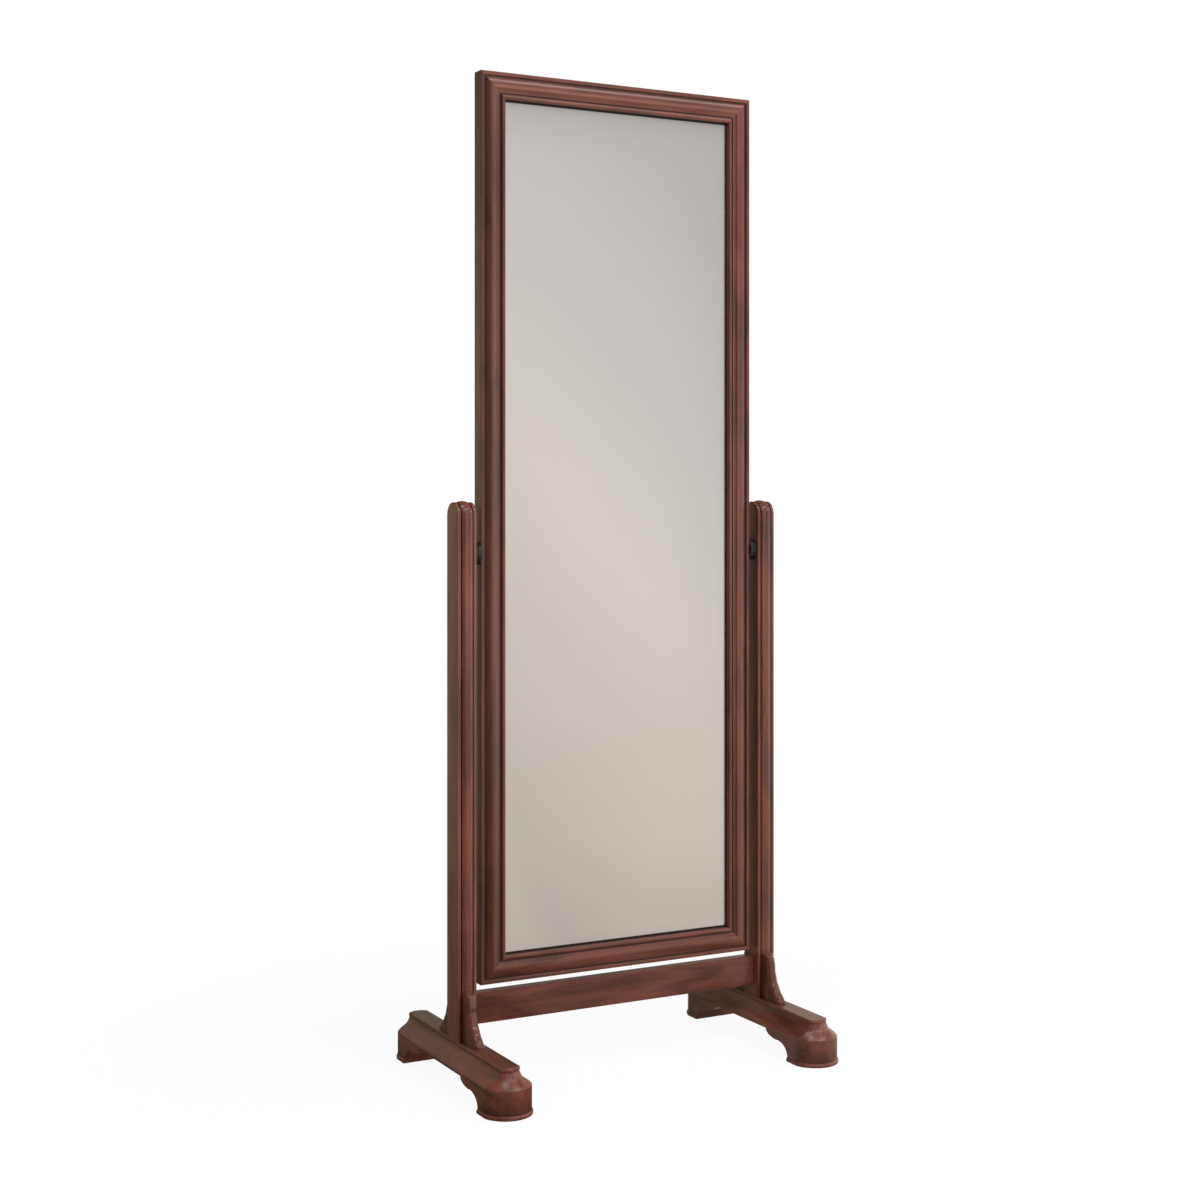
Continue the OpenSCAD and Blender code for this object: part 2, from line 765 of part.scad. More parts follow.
module batten_screws() {
    color(brass) frame_screws(0);
}

on_side(-1) foot();  // left_foot
foot();  // right_foot
on_side(-1) foot_cap();  // left_foot_cap
foot_cap();  // right_foot_cap
on_side(-1) foot_glides();  // left_foot_glides
foot_glides();  // right_foot_glides
on_side(-1) post();  // left_post
post();  // right_post
on_side(-1) bracket(-1);  // left_front_bracket
on_side(-1) bracket(1);  // left_rear_bracket
bracket(-1);  // right_front_bracket
bracket(1);  // right_rear_bracket
bracket_dowels();
stretcher();
stretcher_dowels();
foot_bolts();
foot_bolt_washers();
post_inserts();
on_side(-1) pivot_bush();  // left_pivot_bush
pivot_bush();  // right_pivot_bush
on_side(-1) friction_washer();  // left_friction_washer
friction_washer();  // right_friction_washer
on_side(-1) disc_spring();  // left_disc_spring
disc_spring();  // right_disc_spring
on_side(-1) pivot_disc();  // left_pivot_disc
pivot_disc();  // right_pivot_disc
on_side(-1) pivot_stud();  // left_pivot_stud
pivot_stud();  // right_pivot_stud
on_side(-1) stud_insert();  // left_stud_insert
stud_insert();  // right_stud_insert
frame_member(frame_h, frame_w / 2, 90);  // frame_left_stile
frame_member(frame_h, frame_w / 2, -90);  // frame_right_stile
frame_member(frame_w, frame_h / 2, 180);  // frame_top_rail
frame_member(frame_w, frame_h / 2, 0);  // frame_bottom_rail
frame_corner_keys();
mirror_glass();
glass_setting_blocks();
backing_board();
upright_batten(-1);  // left_batten
upright_batten(1);  // right_batten
level_batten(1);  // top_batten
level_batten(-1);  // bottom_batten
batten_screws();
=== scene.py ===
"""Looks of the cheval mirror: its mouldings, wood, glass and fittings, with a studio and a camera.

Lengths are in millimetres up to the place where a mesh is made; the studio is in metres, Blender's unit.
"""

import json
import logging
import math
from collections.abc import Iterable, Mapping, Sequence
from dataclasses import dataclass, field
from enum import Enum
from functools import partial
from typing import ClassVar

import bmesh
import bpy
from mathutils import Matrix, Vector


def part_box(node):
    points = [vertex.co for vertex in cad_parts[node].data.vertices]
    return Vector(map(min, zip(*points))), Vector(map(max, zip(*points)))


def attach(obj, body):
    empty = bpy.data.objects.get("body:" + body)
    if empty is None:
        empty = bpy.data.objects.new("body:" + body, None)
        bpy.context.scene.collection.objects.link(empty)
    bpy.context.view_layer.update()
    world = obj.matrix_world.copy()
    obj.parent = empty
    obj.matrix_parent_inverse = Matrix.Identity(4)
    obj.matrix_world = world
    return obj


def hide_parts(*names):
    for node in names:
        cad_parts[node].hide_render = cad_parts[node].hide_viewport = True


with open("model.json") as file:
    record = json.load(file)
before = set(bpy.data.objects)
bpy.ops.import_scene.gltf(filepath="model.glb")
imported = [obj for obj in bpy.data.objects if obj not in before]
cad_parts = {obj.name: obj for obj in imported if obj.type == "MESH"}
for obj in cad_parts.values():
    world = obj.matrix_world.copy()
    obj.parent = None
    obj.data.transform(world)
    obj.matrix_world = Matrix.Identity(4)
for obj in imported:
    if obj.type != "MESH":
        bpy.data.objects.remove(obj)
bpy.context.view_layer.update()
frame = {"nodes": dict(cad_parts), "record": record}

LOG = logging.getLogger("cheval_mirror")
MM = 0.001
# Points nearer to each other than this, in metres, become one
ONE_POINT = 1e-7
# The mesh attribute that holds the glaze together with painted shade and light, and its depth on the parts
# of a moulding: above 0 quirks and joints are darkened (real glaze plus painted shade in the recesses),
# below 0 ridges and edges are lightened (wear plus painted highlight) and outer sides most (painted light)
GLAZE_AND_PAINTED_LIGHT = "glaze"
IN_QUIRK, IN_JOINT, AT_LIP, EVEN, ON_RIDGE, ON_EDGE, OUTSIDE = 1.0, 0.8, 0.3, 0.0, -0.6, -0.7, -1.0
# Radius of the shank of each round piece that is let into the wood, and how much wider its hole is bored
SHANK_RADIUS = {"pivot_bush": 8.0, "stud_insert": 7.0}
BORE_PLAY = 0.05

Point = tuple[float, float, float]
Flat = tuple[float, float]
Colour = tuple[float, float, float, float]
Source = bpy.types.Node | bpy.types.NodeSocket
Inputs = Mapping[str, object] | Sequence[object]


class Named(Enum):
    """A choice that the names of nodes hold as a word."""

    @property
    def word(self) -> str:
        """Returns the choice as the nodes have it."""
        return self.name.lower()


class Side(Named):
    """The two sides of the stand, by the sign of X."""

    LEFT = -1
    RIGHT = 1


class Face(Named):
    """The two faces of the stand, by the sign of Y."""

    FRONT = -1
    REAR = 1


class Grain(Named):
    """The way a member's grain runs, as the turn that brings it onto the pattern's X axis."""

    ACROSS = (0.0, 0.0, 0.0)
    DEEP = (0.0, 0.0, -math.pi / 2)
    UPRIGHT = (0.0, math.pi / 2, 0.0)


class Member(Named):
    """The four members of the frame: corner, way inwards and way along, as (x, z) steps."""

    LEFT_STILE = ((0, 0), (1, 0), (0, 1))
    RIGHT_STILE = ((1, 0), (-1, 0), (0, 1))
    TOP_RAIL = ((0, 1), (0, -1), (1, 0))
    BOTTOM_RAIL = ((0, 0), (0, 1), (1, 0))


def linear(tone: str | float, shade: float = 1.0) -> Colour:
    """Turns a colour into Blender's linear colour.

    Args:
        tone: An sRGB hex colour as #rrggbb, or the linear level of a neutral grey.
        shade: How light the result is beside the tone.

    Returns:
        Red, green, blue and an alpha of 1.
    """
    if not isinstance(tone, str):
        return tone, tone, tone, 1.0
    shares = [int(tone[i:i + 2], 16) / 255 for i in (1, 3, 5)]
    levels = (s / 12.92 if s <= 0.04045 else ((s + 0.055) / 1.055) ** 2.4 for s in shares)
    return *(level * shade for level in levels), 1.0


def feed(node: bpy.types.Node, inputs: Inputs) -> None:
    """Fills a node's inputs: a node or socket is linked, a hex colour made linear, the rest is a constant.

    Args:
        node: The node.
        inputs: What goes in, by the sockets' names or in their order.
    """
    for key, value in inputs.items() if isinstance(inputs, Mapping) else enumerate(inputs):
        if isinstance(key, str):
            key = next(i for i, socket in enumerate(node.inputs) if socket.enabled and socket.name == key)
        if isinstance(value, bpy.types.Node):
            value = next(socket for socket in value.outputs if socket.enabled)
        if isinstance(value, bpy.types.NodeSocket):
            node.id_data.links.new(value, node.inputs[key])
        else:
            node.inputs[key].default_value = linear(value) if isinstance(value, str) else value


def add_node(
    tree: bpy.types.NodeTree, kind: str, inputs: Inputs = (),
    stops: Mapping[float, str | float | Colour] | None = None, **settings: object,
) -> bpy.types.Node:
    """Adds a node to a tree.

    Args:
        tree: The tree that gets the node.
        kind: Blender's name for the node's type, without its prefix.
        inputs: What goes into it, by the sockets' names or in their order.
        stops: Places and tones of its colour ramp, where it has one.
        **settings: Properties of the node.

    Returns:
        The new node.
    """
    node = tree.nodes.new(f"ShaderNode{kind}")
    for name, value in settings.items():
        setattr(node, name, value)
    feed(node, inputs)
    for i, (place, tone) in enumerate((stops or {}).items()):
        ramp = node.color_ramp.elements
        stop = ramp[i] if i < 2 else ramp.new(place)
        stop.position = place
        stop.color = tone if isinstance(tone, tuple) else linear(tone)
    return node


def box_of(node: str) -> tuple[Vector, Vector]:
    """Returns the lowest and highest corners of a CAD node, in millimetres."""
    low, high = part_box(node)
    return low / MM, high / MM


def wave(turns: float) -> float:
    """Returns a soft wave, which goes from 0 up to 1 and back once a turn."""
    return 0.5 - 0.5 * math.cos(math.tau * turns)


def arc(centre: Flat, across: float, up: float, start: float, end: float, steps: int) -> list[Flat]:
    """Draws part of an ellipse.

    Args:
        centre: Its centre.
        across: Its half width.
        up: Its half height.
        start: The angle of the first point, in degrees.
        end: The angle of the last point, in degrees.
        steps: How many chords it has.

    Returns:
        The points in order.
    """
    angles = [math.radians(start + (end - start) * i / steps) for i in range(steps + 1)]
    return [(centre[0] + across * math.cos(a), centre[1] + up * math.sin(a)) for a in angles]


def sweep(held: Sequence[Flat], steps: Sequence[int]) -> list[Flat]:
    """Draws cubic curves that follow each other.

    Args:
        held: Four control points for the first curve and three more for each further one.
        steps: How many chords each curve has.

    Returns:
        The points in order, each joint once.
    """
    points = [tuple(held[0])]
    for part, count in enumerate(steps):
        for i in range(1, count + 1):
            t = i / count
            weights = ((1 - t) ** 3, 3 * t * (1 - t) ** 2, 3 * t * t * (1 - t), t ** 3)
            points.append(tuple(sum(w * p[k] for w, p in zip(weights, held[3 * part:])) for k in (0, 1)))
    return points


def eased(outline: Sequence[Flat], radius: float, corners: Iterable[int] | None = None) -> list[Flat]:
    """Rounds the corners of a closed outline, as sanding takes off an arris.

    Args:
        outline: The outline's points.
        radius: How far the rounding reaches from a corner, but never past the middle of a side.
        corners: Which points are rounded; by default all that turn by more than 30 degrees.

    Returns:
        The rounded outline.
    """
    chosen = None if corners is None else set(corners)
    result: list[Flat] = []
    for i, spot in enumerate(outline):
        here = Vector(spot)
        way_in = here - Vector(outline[i - 1])
        way_out = Vector(outline[(i + 1) % len(outline)]) - here
        sharp = abs(way_in.angle(way_out, 0)) > math.radians(30) if chosen is None else i in chosen
        if not sharp:
            result.append(spot)
            continue
        start = here - way_in.normalized() * min(radius, 0.45 * way_in.length)
        end = here + way_out.normalized() * min(radius, 0.45 * way_out.length)
        for t in (0, 1 / 3, 2 / 3, 1):
            result.append(tuple(start * (1 - t) ** 2 + here * 2 * t * (1 - t) + end * t * t))
    return result


def sliced(outline: Sequence[Flat], places: Iterable[float]) -> list[list[Point]]:
    """Repeats an outline of Y and Z at some places along X."""
    return [[(x, y, z) for y, z in outline] for x in places]


def smooth(obj: bpy.types.Object, crease: float) -> None:
    """Shades a mesh smooth, with its flat faces kept flat.

    Args:
        obj: The mesh's object.
        crease: The angle in degrees above which an edge stays sharp.
    """
    obj.data.shade_smooth()
    obj.data.set_sharp_from_angle(angle=math.radians(crease))
    obj.modifiers.new("flat_faces", "WEIGHTED_NORMAL").keep_sharp = True


def loft(
    name: str, rings: Sequence[Sequence[Point]], glaze: Sequence[Sequence[float]] | None = None,
    crease: float = 34,
) -> bpy.types.Object:
    """Makes a closed mesh through rings of points, flat at its first and last ring.

    Args:
        name: The object's name.
        rings: Closed rings with one count of points, in millimetres.
        glaze: How deep the glaze and painted shade lie at each point, from -1, where the glaze is wiped off
            and the wood painted lighter, to 1; by default even.
        crease: The angle in degrees above which an edge stays sharp.

    Returns:
        The object, at the origin.
    """
    mesh = bpy.data.meshes.new(name)
    shape = bmesh.new()
    layer = shape.verts.layers.float.new(GLAZE_AND_PAINTED_LIGHT)
    rows = []
    for ring, depths in zip(rings, glaze or [[EVEN] * len(ring) for ring in rings]):
        rows.append([shape.verts.new(Vector(point) * MM) for point in ring])
        for vert, depth in zip(rows[-1], depths):
            vert[layer] = depth
    for low, high in zip(rows, rows[1:]):
        for i in range(len(low)):
            j = (i + 1) % len(low)
            shape.faces.new((low[i], low[j], high[j], high[i]))
    shape.faces.new(rows[0])
    shape.faces.new(rows[-1])
    bmesh.ops.remove_doubles(shape, verts=shape.verts, dist=ONE_POINT)
    bmesh.ops.dissolve_degenerate(shape, edges=shape.edges, dist=ONE_POINT)
    bmesh.ops.recalc_face_normals(shape, faces=shape.faces)
    shape.to_mesh(mesh)
    shape.free()
    obj = bpy.data.objects.new(name, mesh)
    bpy.context.scene.collection.objects.link(obj)
    smooth(obj, crease)
    return obj


def cut(obj: bpy.types.Object, tool: bpy.types.Object, crease: float = 34) -> None:
    """Cuts a closed mesh out of another one for good.

    Args:
        obj: The mesh that is cut.
        tool: The mesh that is taken out of it; it is deleted.
        crease: The angle in degrees above which an edge stays sharp.
    """
    obj.modifiers.clear()
    step = obj.modifiers.new("cut", "BOOLEAN")
    step.object = tool
    step.solver = "EXACT"
    whole = obj.data
    obj.data = bpy.data.meshes.new_from_object(obj.evaluated_get(bpy.context.evaluated_depsgraph_get()))
    obj.data.name = obj.name
    obj.modifiers.clear()
    # The cut leaves normals of its own, which would shade the new edges wrongly
    left_over = obj.data.attributes.get("custom_normal")
    if left_over:
        obj.data.attributes.remove(left_over)
    bpy.data.meshes.remove(whole)
    bpy.data.objects.remove(tool)
    smooth(obj, crease)


def bore(node: str, deeper: float, steps: int = 48) -> bpy.types.Object:
    """Makes the tool that drills a hole along X for a round CAD node.

    Args:
        node: The node that the hole holds, whose shank gives the hole's place.
        deeper: How far the hole runs past both ends of the node.
        steps: How many sides the tool has.

    Returns:
        A closed round bar.
    """
    low, high = box_of(node)
    centre = (low + high) / 2
    radius = SHANK_RADIUS[node.split("_", 1)[1]] + BORE_PLAY
    circle = arc((centre.y, centre.z), radius, radius, 0, 360, steps)[:-1]
    return loft(f"bore_for_{node}", sliced(circle, (low.x - deeper, high.x + deeper)))


def places(tree: bpy.types.NodeTree, turn: Point = (0, 0, 0), shift: Point = (0, 0, 0)) -> bpy.types.Node:
    """Adds the places in a piece, in millimetres.

    Args:
        tree: The material's tree.
        turn: How the piece is turned into the pattern.
        shift: How far it is then moved in it.

    Returns:
        The node that gives the places.
    """
    inside = add_node(tree, "TexCoord").outputs["Object"]
    return add_node(tree, "Mapping", (inside, shift, turn, (1 / MM, 1 / MM, 1 / MM)))


@dataclass(frozen=True)
class Marks:
    """Soft marks of a real size in millimetres, with finer layers on them and a curl."""

    size: Point
    layers: float
    curl: float = 0.0

    def draw(self, tree: bpy.types.NodeTree, place: Source) -> bpy.types.Node:
        """Adds the marks to a tree.

        Args:
            tree: The material's tree.
            place: Places in the piece, in millimetres.

        Returns:
            The node that gives their strength, from 0 to 1.
        """
        scale = tuple(1 / length for length in self.size)
        spread = add_node(tree, "Mapping", {"Vector": place, "Scale": scale})
        return add_node(tree, "TexNoise", {
            "Vector": spread, "Scale": 1.0, "Detail": self.layers, "Distortion": self.curl,
        })


@dataclass(frozen=True)
class Finish:
    """What a surface is made of and how it was made."""

    slot: ClassVar[str] = ""
    called: ClassVar[str] = ""

    @property
    def name(self) -> str:
        """Returns the material's name."""
        return self.called

    def paint(self, tree: bpy.types.NodeTree, shader: bpy.types.Node) -> None:
        """Adds the finish's patterns to its tree and feeds its shader."""
        raise NotImplementedError

    def material(self) -> bpy.types.Material:
        """Makes the finish's material on its first use.

        Returns:
            The material.
        """
        made = bpy.data.materials.get(self.name)
        if not made:
            made = bpy.data.materials.new(self.name)
            made.use_nodes = True
            self.paint(made.node_tree, made.node_tree.nodes["Principled BSDF"])
        return made


@dataclass(frozen=True)
class LacqueredMahogany(Finish):
    """Mahogany that was moulded and sanded, stained red-brown and sprayed with satin lacquer.

    The stain gives soft dark and reddish figure under a clear film with broad, gentle highlights.
    """

    slot = "mahogany"
    grain: Grain = Grain.UPRIGHT
    plank: int = 0
    # How light the wood is drawn: partly the plank's own tone, partly painted light and shade for how the
    # lamps fall on the piece
    shade: float = 1.0
    film: float = 1.0
    haze: float = 0.18
    dark: ClassVar[str] = "#562b20"
    middle: ClassVar[str] = "#6c392a"
    light: ClassVar[str] = "#7a4233"
    # The groove tone is real glaze deepened into painted shade in quirks and joints; the rubbed tone is
    # wear plus painted highlight on ridges and edges, and painted light on the frame's outer sides
    groove: ClassVar[str] = "#2a120c"
    rubbed: ClassVar[str] = "#a0604a"
    cloud: ClassVar[Marks] = Marks((210, 38, 38), 3.0, 1.1)
    ribbon: ClassVar[Marks] = Marks((420, 7, 7), 3.0, 0.3)
    # Real pores are about 0.2 wide; these are drawn wider so that they show
    pores: ClassVar[Marks] = Marks((9, 0.7, 0.7), 1.0)
    ring_drift: ClassVar[Marks] = Marks((160, 50, 50), 2.0)
    ring_bend: ClassVar[float] = 26.0
    ring_pitch: ClassVar[float] = 6.5
    # How strongly the ribbon, rings, pores, glaze and the painted shade and light show
    ribbon_share: ClassVar[float] = 0.35
    ring_share: ClassVar[float] = 0.5
    pore_share: ClassVar[float] = 0.6
    groove_share: ClassVar[float] = 0.85
    rubbed_share: ClassVar[float] = 0.5
    pore_depth: ClassVar[float] = 0.06
    # Steps from one plank to the next in the endless pattern
    plank_step: ClassVar[Point] = (613.0, 171.0, 97.0)

    @property
    def name(self) -> str:
        """Returns the material's name, one for each plank."""
        skin = "lacquered" if self.film else "stained"
        return f"{skin}_mahogany_{self.grain.word}_{self.plank}"

    def paint(self, tree: bpy.types.NodeTree, shader: bpy.types.Node) -> None:
        """Paints the figure, rings, pores and glaze under the lacquer.

        Args:
            tree: The material's tree.
            shader: Its shader.
        """
        add = partial(add_node, tree)
        along = places(tree, self.grain.value, tuple((self.plank + 1) * step for step in self.plank_step))
        cloud = self.cloud.draw(tree, along)
        ribbon = self.ribbon.draw(tree, along)
        figure = add("Math", (ribbon, self.ribbon_share, cloud), operation="MULTIPLY_ADD")
        stained = add("ValToRGB", (figure,), {
            0.50: linear(self.dark, self.shade), 0.68: linear(self.middle, self.shade),
            0.86: linear(self.light, self.shade),
        })
        ringed = add("Mix", {
            "Factor": self.ring_share, "A": stained, "B": self.rings(tree, along),
        }, data_type="RGBA", blend_type="MULTIPLY")
        pores = add("ValToRGB", (self.pores.draw(tree, along),), {0.30: 0.45, 0.40: 1.0})
        wood = add("Mix", {
            "Factor": self.pore_share, "A": ringed, "B": pores,
        }, data_type="RGBA", blend_type="MULTIPLY")
        feed(shader, {
            "Base Color": self.glazed(tree, wood, cloud),
            "Roughness": add("MapRange", {"Value": cloud, "To Min": 0.50, "To Max": 0.38}),
            "Normal": add("Bump", {"Strength": 0.25, "Distance": self.pore_depth * MM, "Height": pores}),
            "IOR": 1.5, "Specular IOR Level": 0.2, "Coat Weight": self.film, "Coat Roughness": self.haze,
        })

    def rings(self, tree: bpy.types.NodeTree, along: Source) -> bpy.types.Node:
        """Adds the year rings, which a plank shows as lines that follow the grain.

        Args:
            tree: The material's tree.
            along: Places in the wood, with the grain along X.

        Returns:
            The node that gives their tone.
        """
        drift = self.ring_drift.draw(tree, along).outputs["Color"]
        bend = (0.0, self.ring_bend, self.ring_bend)
        bent = add_node(tree, "VectorMath", (drift, bend, along), operation="MULTIPLY_ADD")
        # A ring texture of scale 1 has a ring every tau / 20
        lines = add_node(tree, "TexWave", (bent, math.tau / 20 / self.ring_pitch),
                         wave_type="RINGS", rings_direction="X", wave_profile="SAW")
        return add_node(tree, "ValToRGB", (lines.outputs["Fac"],), {0.0: 0.62, 0.5: 1.0, 1.0: 0.82})

    def glazed(self, tree: bpy.types.NodeTree, wood: Source, cloud: Source) -> bpy.types.Node:
        """Darkens the grooves, where glaze stays and shade is painted, and lightens the arrises and outer
        sides, where glaze is wiped off and highlight and light are painted.

        Args:
            tree: The material's tree.
            wood: The bare wood's colour.
            cloud: The strength of its cloudy figure, which breaks up the wiped places.

        Returns:
            The node that gives the glazed colour with its painted shade and light.
        """
        add = partial(add_node, tree)
        times = {"operation": "MULTIPLY", "use_clamp": True}
        depth = add("Attribute", attribute_name=GLAZE_AND_PAINTED_LIGHT).outputs["Fac"]
        deep = add("Math", (depth, self.groove_share), **times)
        wiped_and_lit = add("Math", (depth, -self.rubbed_share), **times)
        broken = add("Math", (wiped_and_lit, cloud), **times)
        # Painted shade in the quirks and joints, on top of the real glaze; below, wear plus painted
        # highlight and painted light
        dark = add("Mix", {"Factor": deep, "A": wood, "B": self.groove}, data_type="RGBA")
        return add("Mix", {"Factor": broken, "A": dark, "B": self.rubbed}, data_type="RGBA")


@dataclass(frozen=True)
class SpeckledFinish(Finish):
    """A finish whose colour and gloss vary in fine specks, the base of the plain materials."""

    base: ClassVar[str] = "#808080"
    fleck: ClassVar[str] = "#707070"
    specks: ClassVar[Marks] = Marks((2.0, 2.0, 2.0), 3.0)
    roughness: ClassVar[Flat] = (0.5, 0.6)
    relief: ClassVar[float] = 0.02
    constants: ClassVar[dict[str, float]] = {}

    def paint(self, tree: bpy.types.NodeTree, shader: bpy.types.Node) -> None:
        """Paints the specks, the gloss and the relief.

        Args:
            tree: The material's tree.
            shader: Its shader.
        """
        specks = self.specks.draw(tree, places(tree))
        smoothest, roughest = self.roughness
        feed(shader, {
            "Base Color": add_node(tree, "ValToRGB", (specks,), {0.35: self.fleck, 0.62: self.base}),
            "Roughness": add_node(tree, "MapRange", {
                "Value": specks, "To Min": roughest, "To Max": smoothest,
            }),
            "Normal": add_node(tree, "Bump", {
                "Strength": 0.5, "Distance": self.relief * MM, "Height": specks,
            }),
            **self.constants,
        })


class Hardboard(SpeckledFinish):
    """Hardboard, pressed brown fibre with a smooth face: dull, with short darker fibres."""

    slot, called = "hardboard", "pressed_hardboard"
    base, fleck = "#6e5238", "#553d28"
    specks = Marks((2.5, 2.5, 2.5), 8.0)
    roughness = (0.55, 0.75)
    relief = 0.08


class Beech(SpeckledFinish):
    """Beech, turned or sawn and left bare: pale, with fine darker flecks along the grain."""

    slot, called = "beech", "bare_beech"
    base, fleck = "#c9a678", "#b08a5c"
    specks = Marks((8.0, 1.2, 1.2), 3.0)
    roughness = (0.6, 0.75)


class ZincSteel(SpeckledFinish):
    """Mild steel, zinc plated: a cool grey metal with a faint cloudy bloom."""

    slot, called = "zinc_steel", "zinc_plated_steel"
    base, fleck = "#c3c6c8", "#a2a6aa"
    specks = Marks((1.5, 1.5, 1.5), 3.0)
    roughness = (0.28, 0.42)
    constants = {"Metallic": 1.0}


class Brass(SpeckledFinish):
    """Brass, turned and left to dull: a warm yellow metal with darker turning marks."""

    slot, called = "brass", "turned_brass"
    base, fleck = "#c8a45a", "#9c7a3c"
    specks = Marks((0.6, 3.0, 3.0), 3.0)
    roughness = (0.25, 0.42)
    constants = {"Metallic": 1.0}


class MouldedNylon(SpeckledFinish):
    """Nylon, moulded black: a soft even sheen over a fine spark-eroded texture."""

    slot, called = "black_nylon", "black_moulded_nylon"
    base, fleck = "#1d1c1c", "#141313"
    specks = Marks((0.8, 0.8, 0.8), 3.0)
    roughness = (0.42, 0.55)
    constants = {"IOR": 1.53}


class VulcanisedFibre(SpeckledFinish):
    """Vulcanised fibre, punched from sheet: dark, dense and nearly matt."""

    slot, called = "fibre", "punched_vulcanised_fibre"
    base, fleck = "#3f2c24", "#33231c"
    roughness = (0.6, 0.72)


class Felt(SpeckledFinish):
    """Wool felt, pressed and punched: matt and dark, with a tangle of fine fibres."""

    slot, called = "felt", "pressed_felt"
    base, fleck = "#45403b", "#332f2b"
    specks = Marks((1.0, 1.0, 1.0), 6.0)
    roughness = (0.9, 1.0)
    relief = 0.3
    constants = {"Sheen Weight": 0.3}


class Rubber(SpeckledFinish):
    """Rubber, cut from strip: dull black with a grey bloom."""

    slot, called = "rubber", "cut_rubber"
    base, fleck = "#2e2d2c", "#232221"
    roughness = (0.7, 0.85)


@dataclass(frozen=True)
class SilveredGlass(Finish):
    """Float glass, silvered and painted behind: a clear reflection, a little greyed by the glass."""

    slot, called = "silvered_glass", "silvered_float_glass"
    # Where the painted reflection of the frame's dark inner side begins: beyond this half width, below this
    # bottom and above this top
    half_width: float
    bottom: float
    top: float
    tint: ClassVar[str] = "#e9e6e3"
    # The edge tone is the colour of the painted reflection of the frame's inner side
    edge: ClassVar[str] = "#1d1916"
    # Faint wiping marks, far wider across the glass than they are high
    wipes: ClassVar[Marks] = Marks((260.0, 40.0, 60.0), 4.0, 0.6)
    silvering: ClassVar[float] = 0.75

    def paint(self, tree: bpy.types.NodeTree, shader: bpy.types.Node) -> None:
        """Sets the silver's reflection, its faint wiping marks and the dark line beside the frame.

        That line is a painted reflection of the frame's dark inner side: the glass is coloured dark there
        and not silvered.

        Args:
            tree: The material's tree.
            shader: Its shader.
        """
        add = partial(add_node, tree)
        place = places(tree)
        parts = add("SeparateXYZ", (place,)).outputs
        across = add("Math", (parts["X"],), operation="ABSOLUTE")
        # Mask of the painted reflection of the frame's inner side along the glass's edges
        line = add("Math", (across, self.half_width), operation="GREATER_THAN")
        for test, height in (("LESS_THAN", self.bottom), ("GREATER_THAN", self.top)):
            beyond = add("Math", (parts["Z"], height), operation=test)
            line = add("Math", (line, beyond), operation="MAXIMUM")
        feed(shader, {
            "Base Color": add("Mix", {"Factor": line, "A": self.tint, "B": self.edge}, data_type="RGBA"),
            "Metallic": add("MapRange", {"Value": line, "To Min": self.silvering, "To Max": 0.0}),
            "Roughness": add("MapRange", {
                "Value": self.wipes.draw(tree, place), "To Min": 0.015, "To Max": 0.05,
            }),
        })


# The plank that each finer mesh was cut from, and how light its wood is: partly the plank's own tone,
# partly painted light and shade, lighter or darker for how the lamps fall on each piece
PLANKS = {
    "frame_left_stile": LacqueredMahogany(Grain.UPRIGHT, 0, 0.50),
    "frame_right_stile": LacqueredMahogany(Grain.UPRIGHT, 1, 0.70),
    "frame_top_rail": LacqueredMahogany(Grain.ACROSS, 2, 0.98),
    "frame_bottom_rail": LacqueredMahogany(Grain.ACROSS, 3, 0.78),
    "left_post": LacqueredMahogany(Grain.UPRIGHT, 5, 0.98),
    "right_post": LacqueredMahogany(Grain.UPRIGHT, 6, 0.74),
    "stretcher": LacqueredMahogany(Grain.ACROSS, 8, 0.80),
    "left_foot": LacqueredMahogany(Grain.DEEP, 10, 1.15, haze=0.25),
    "left_foot_cap": LacqueredMahogany(Grain.DEEP, 11, 0.76),
    "right_foot": LacqueredMahogany(Grain.DEEP, 12, 1.00, haze=0.25),
    "right_foot_cap": LacqueredMahogany(Grain.DEEP, 13, 0.88),
    "left_front_bracket": LacqueredMahogany(Grain.UPRIGHT, 14, 0.66),
    "left_rear_bracket": LacqueredMahogany(Grain.UPRIGHT, 15, 0.80),
    "right_front_bracket": LacqueredMahogany(Grain.UPRIGHT, 16, 0.70),
    "right_rear_bracket": LacqueredMahogany(Grain.UPRIGHT, 17, 0.80),
}


def stand_in(obj: bpy.types.Object, node: str, finish: Finish) -> None:
    """Lets a finer mesh stand for a CAD node, on that node's body.

    Args:
        obj: The finer mesh.
        node: The CAD node that it replaces.
        finish: What it is made of.
    """
    bodies = frame["record"]["behaviour"]["bodies"]
    obj.data.materials.append(finish.material())
    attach(obj, next(body for body, nodes in bodies.items() if node in nodes))
    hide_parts(node)
    LOG.info("%s stands for %s, in %s", obj.name, node, finish.name)


@dataclass(frozen=True)
class Kept:
    """How a CAD node that stays is dressed: its finish, and the width of its softened edges."""

    finish: Finish
    arris: float

    def dress(self, node: str) -> None:
        """Gives a CAD node its finish and soft edges.

        Args:
            node: The node's name.
        """
        obj = frame["nodes"][node]
        obj.data.materials.clear()
        obj.data.materials.append(self.finish.material())
        obj.modifiers.new("joined_faces", "WELD").merge_threshold = 0.001 * MM
        edges = obj.modifiers.new("soft_edges", "BEVEL")
        edges.width = self.arris * MM
        edges.segments = 2
        edges.limit_method = "ANGLE"
        edges.angle_limit = math.radians(40)
        obj.modifiers.new("flat_faces", "WEIGHTED_NORMAL")
        LOG.info("%s is kept, in %s", node, self.finish.name)


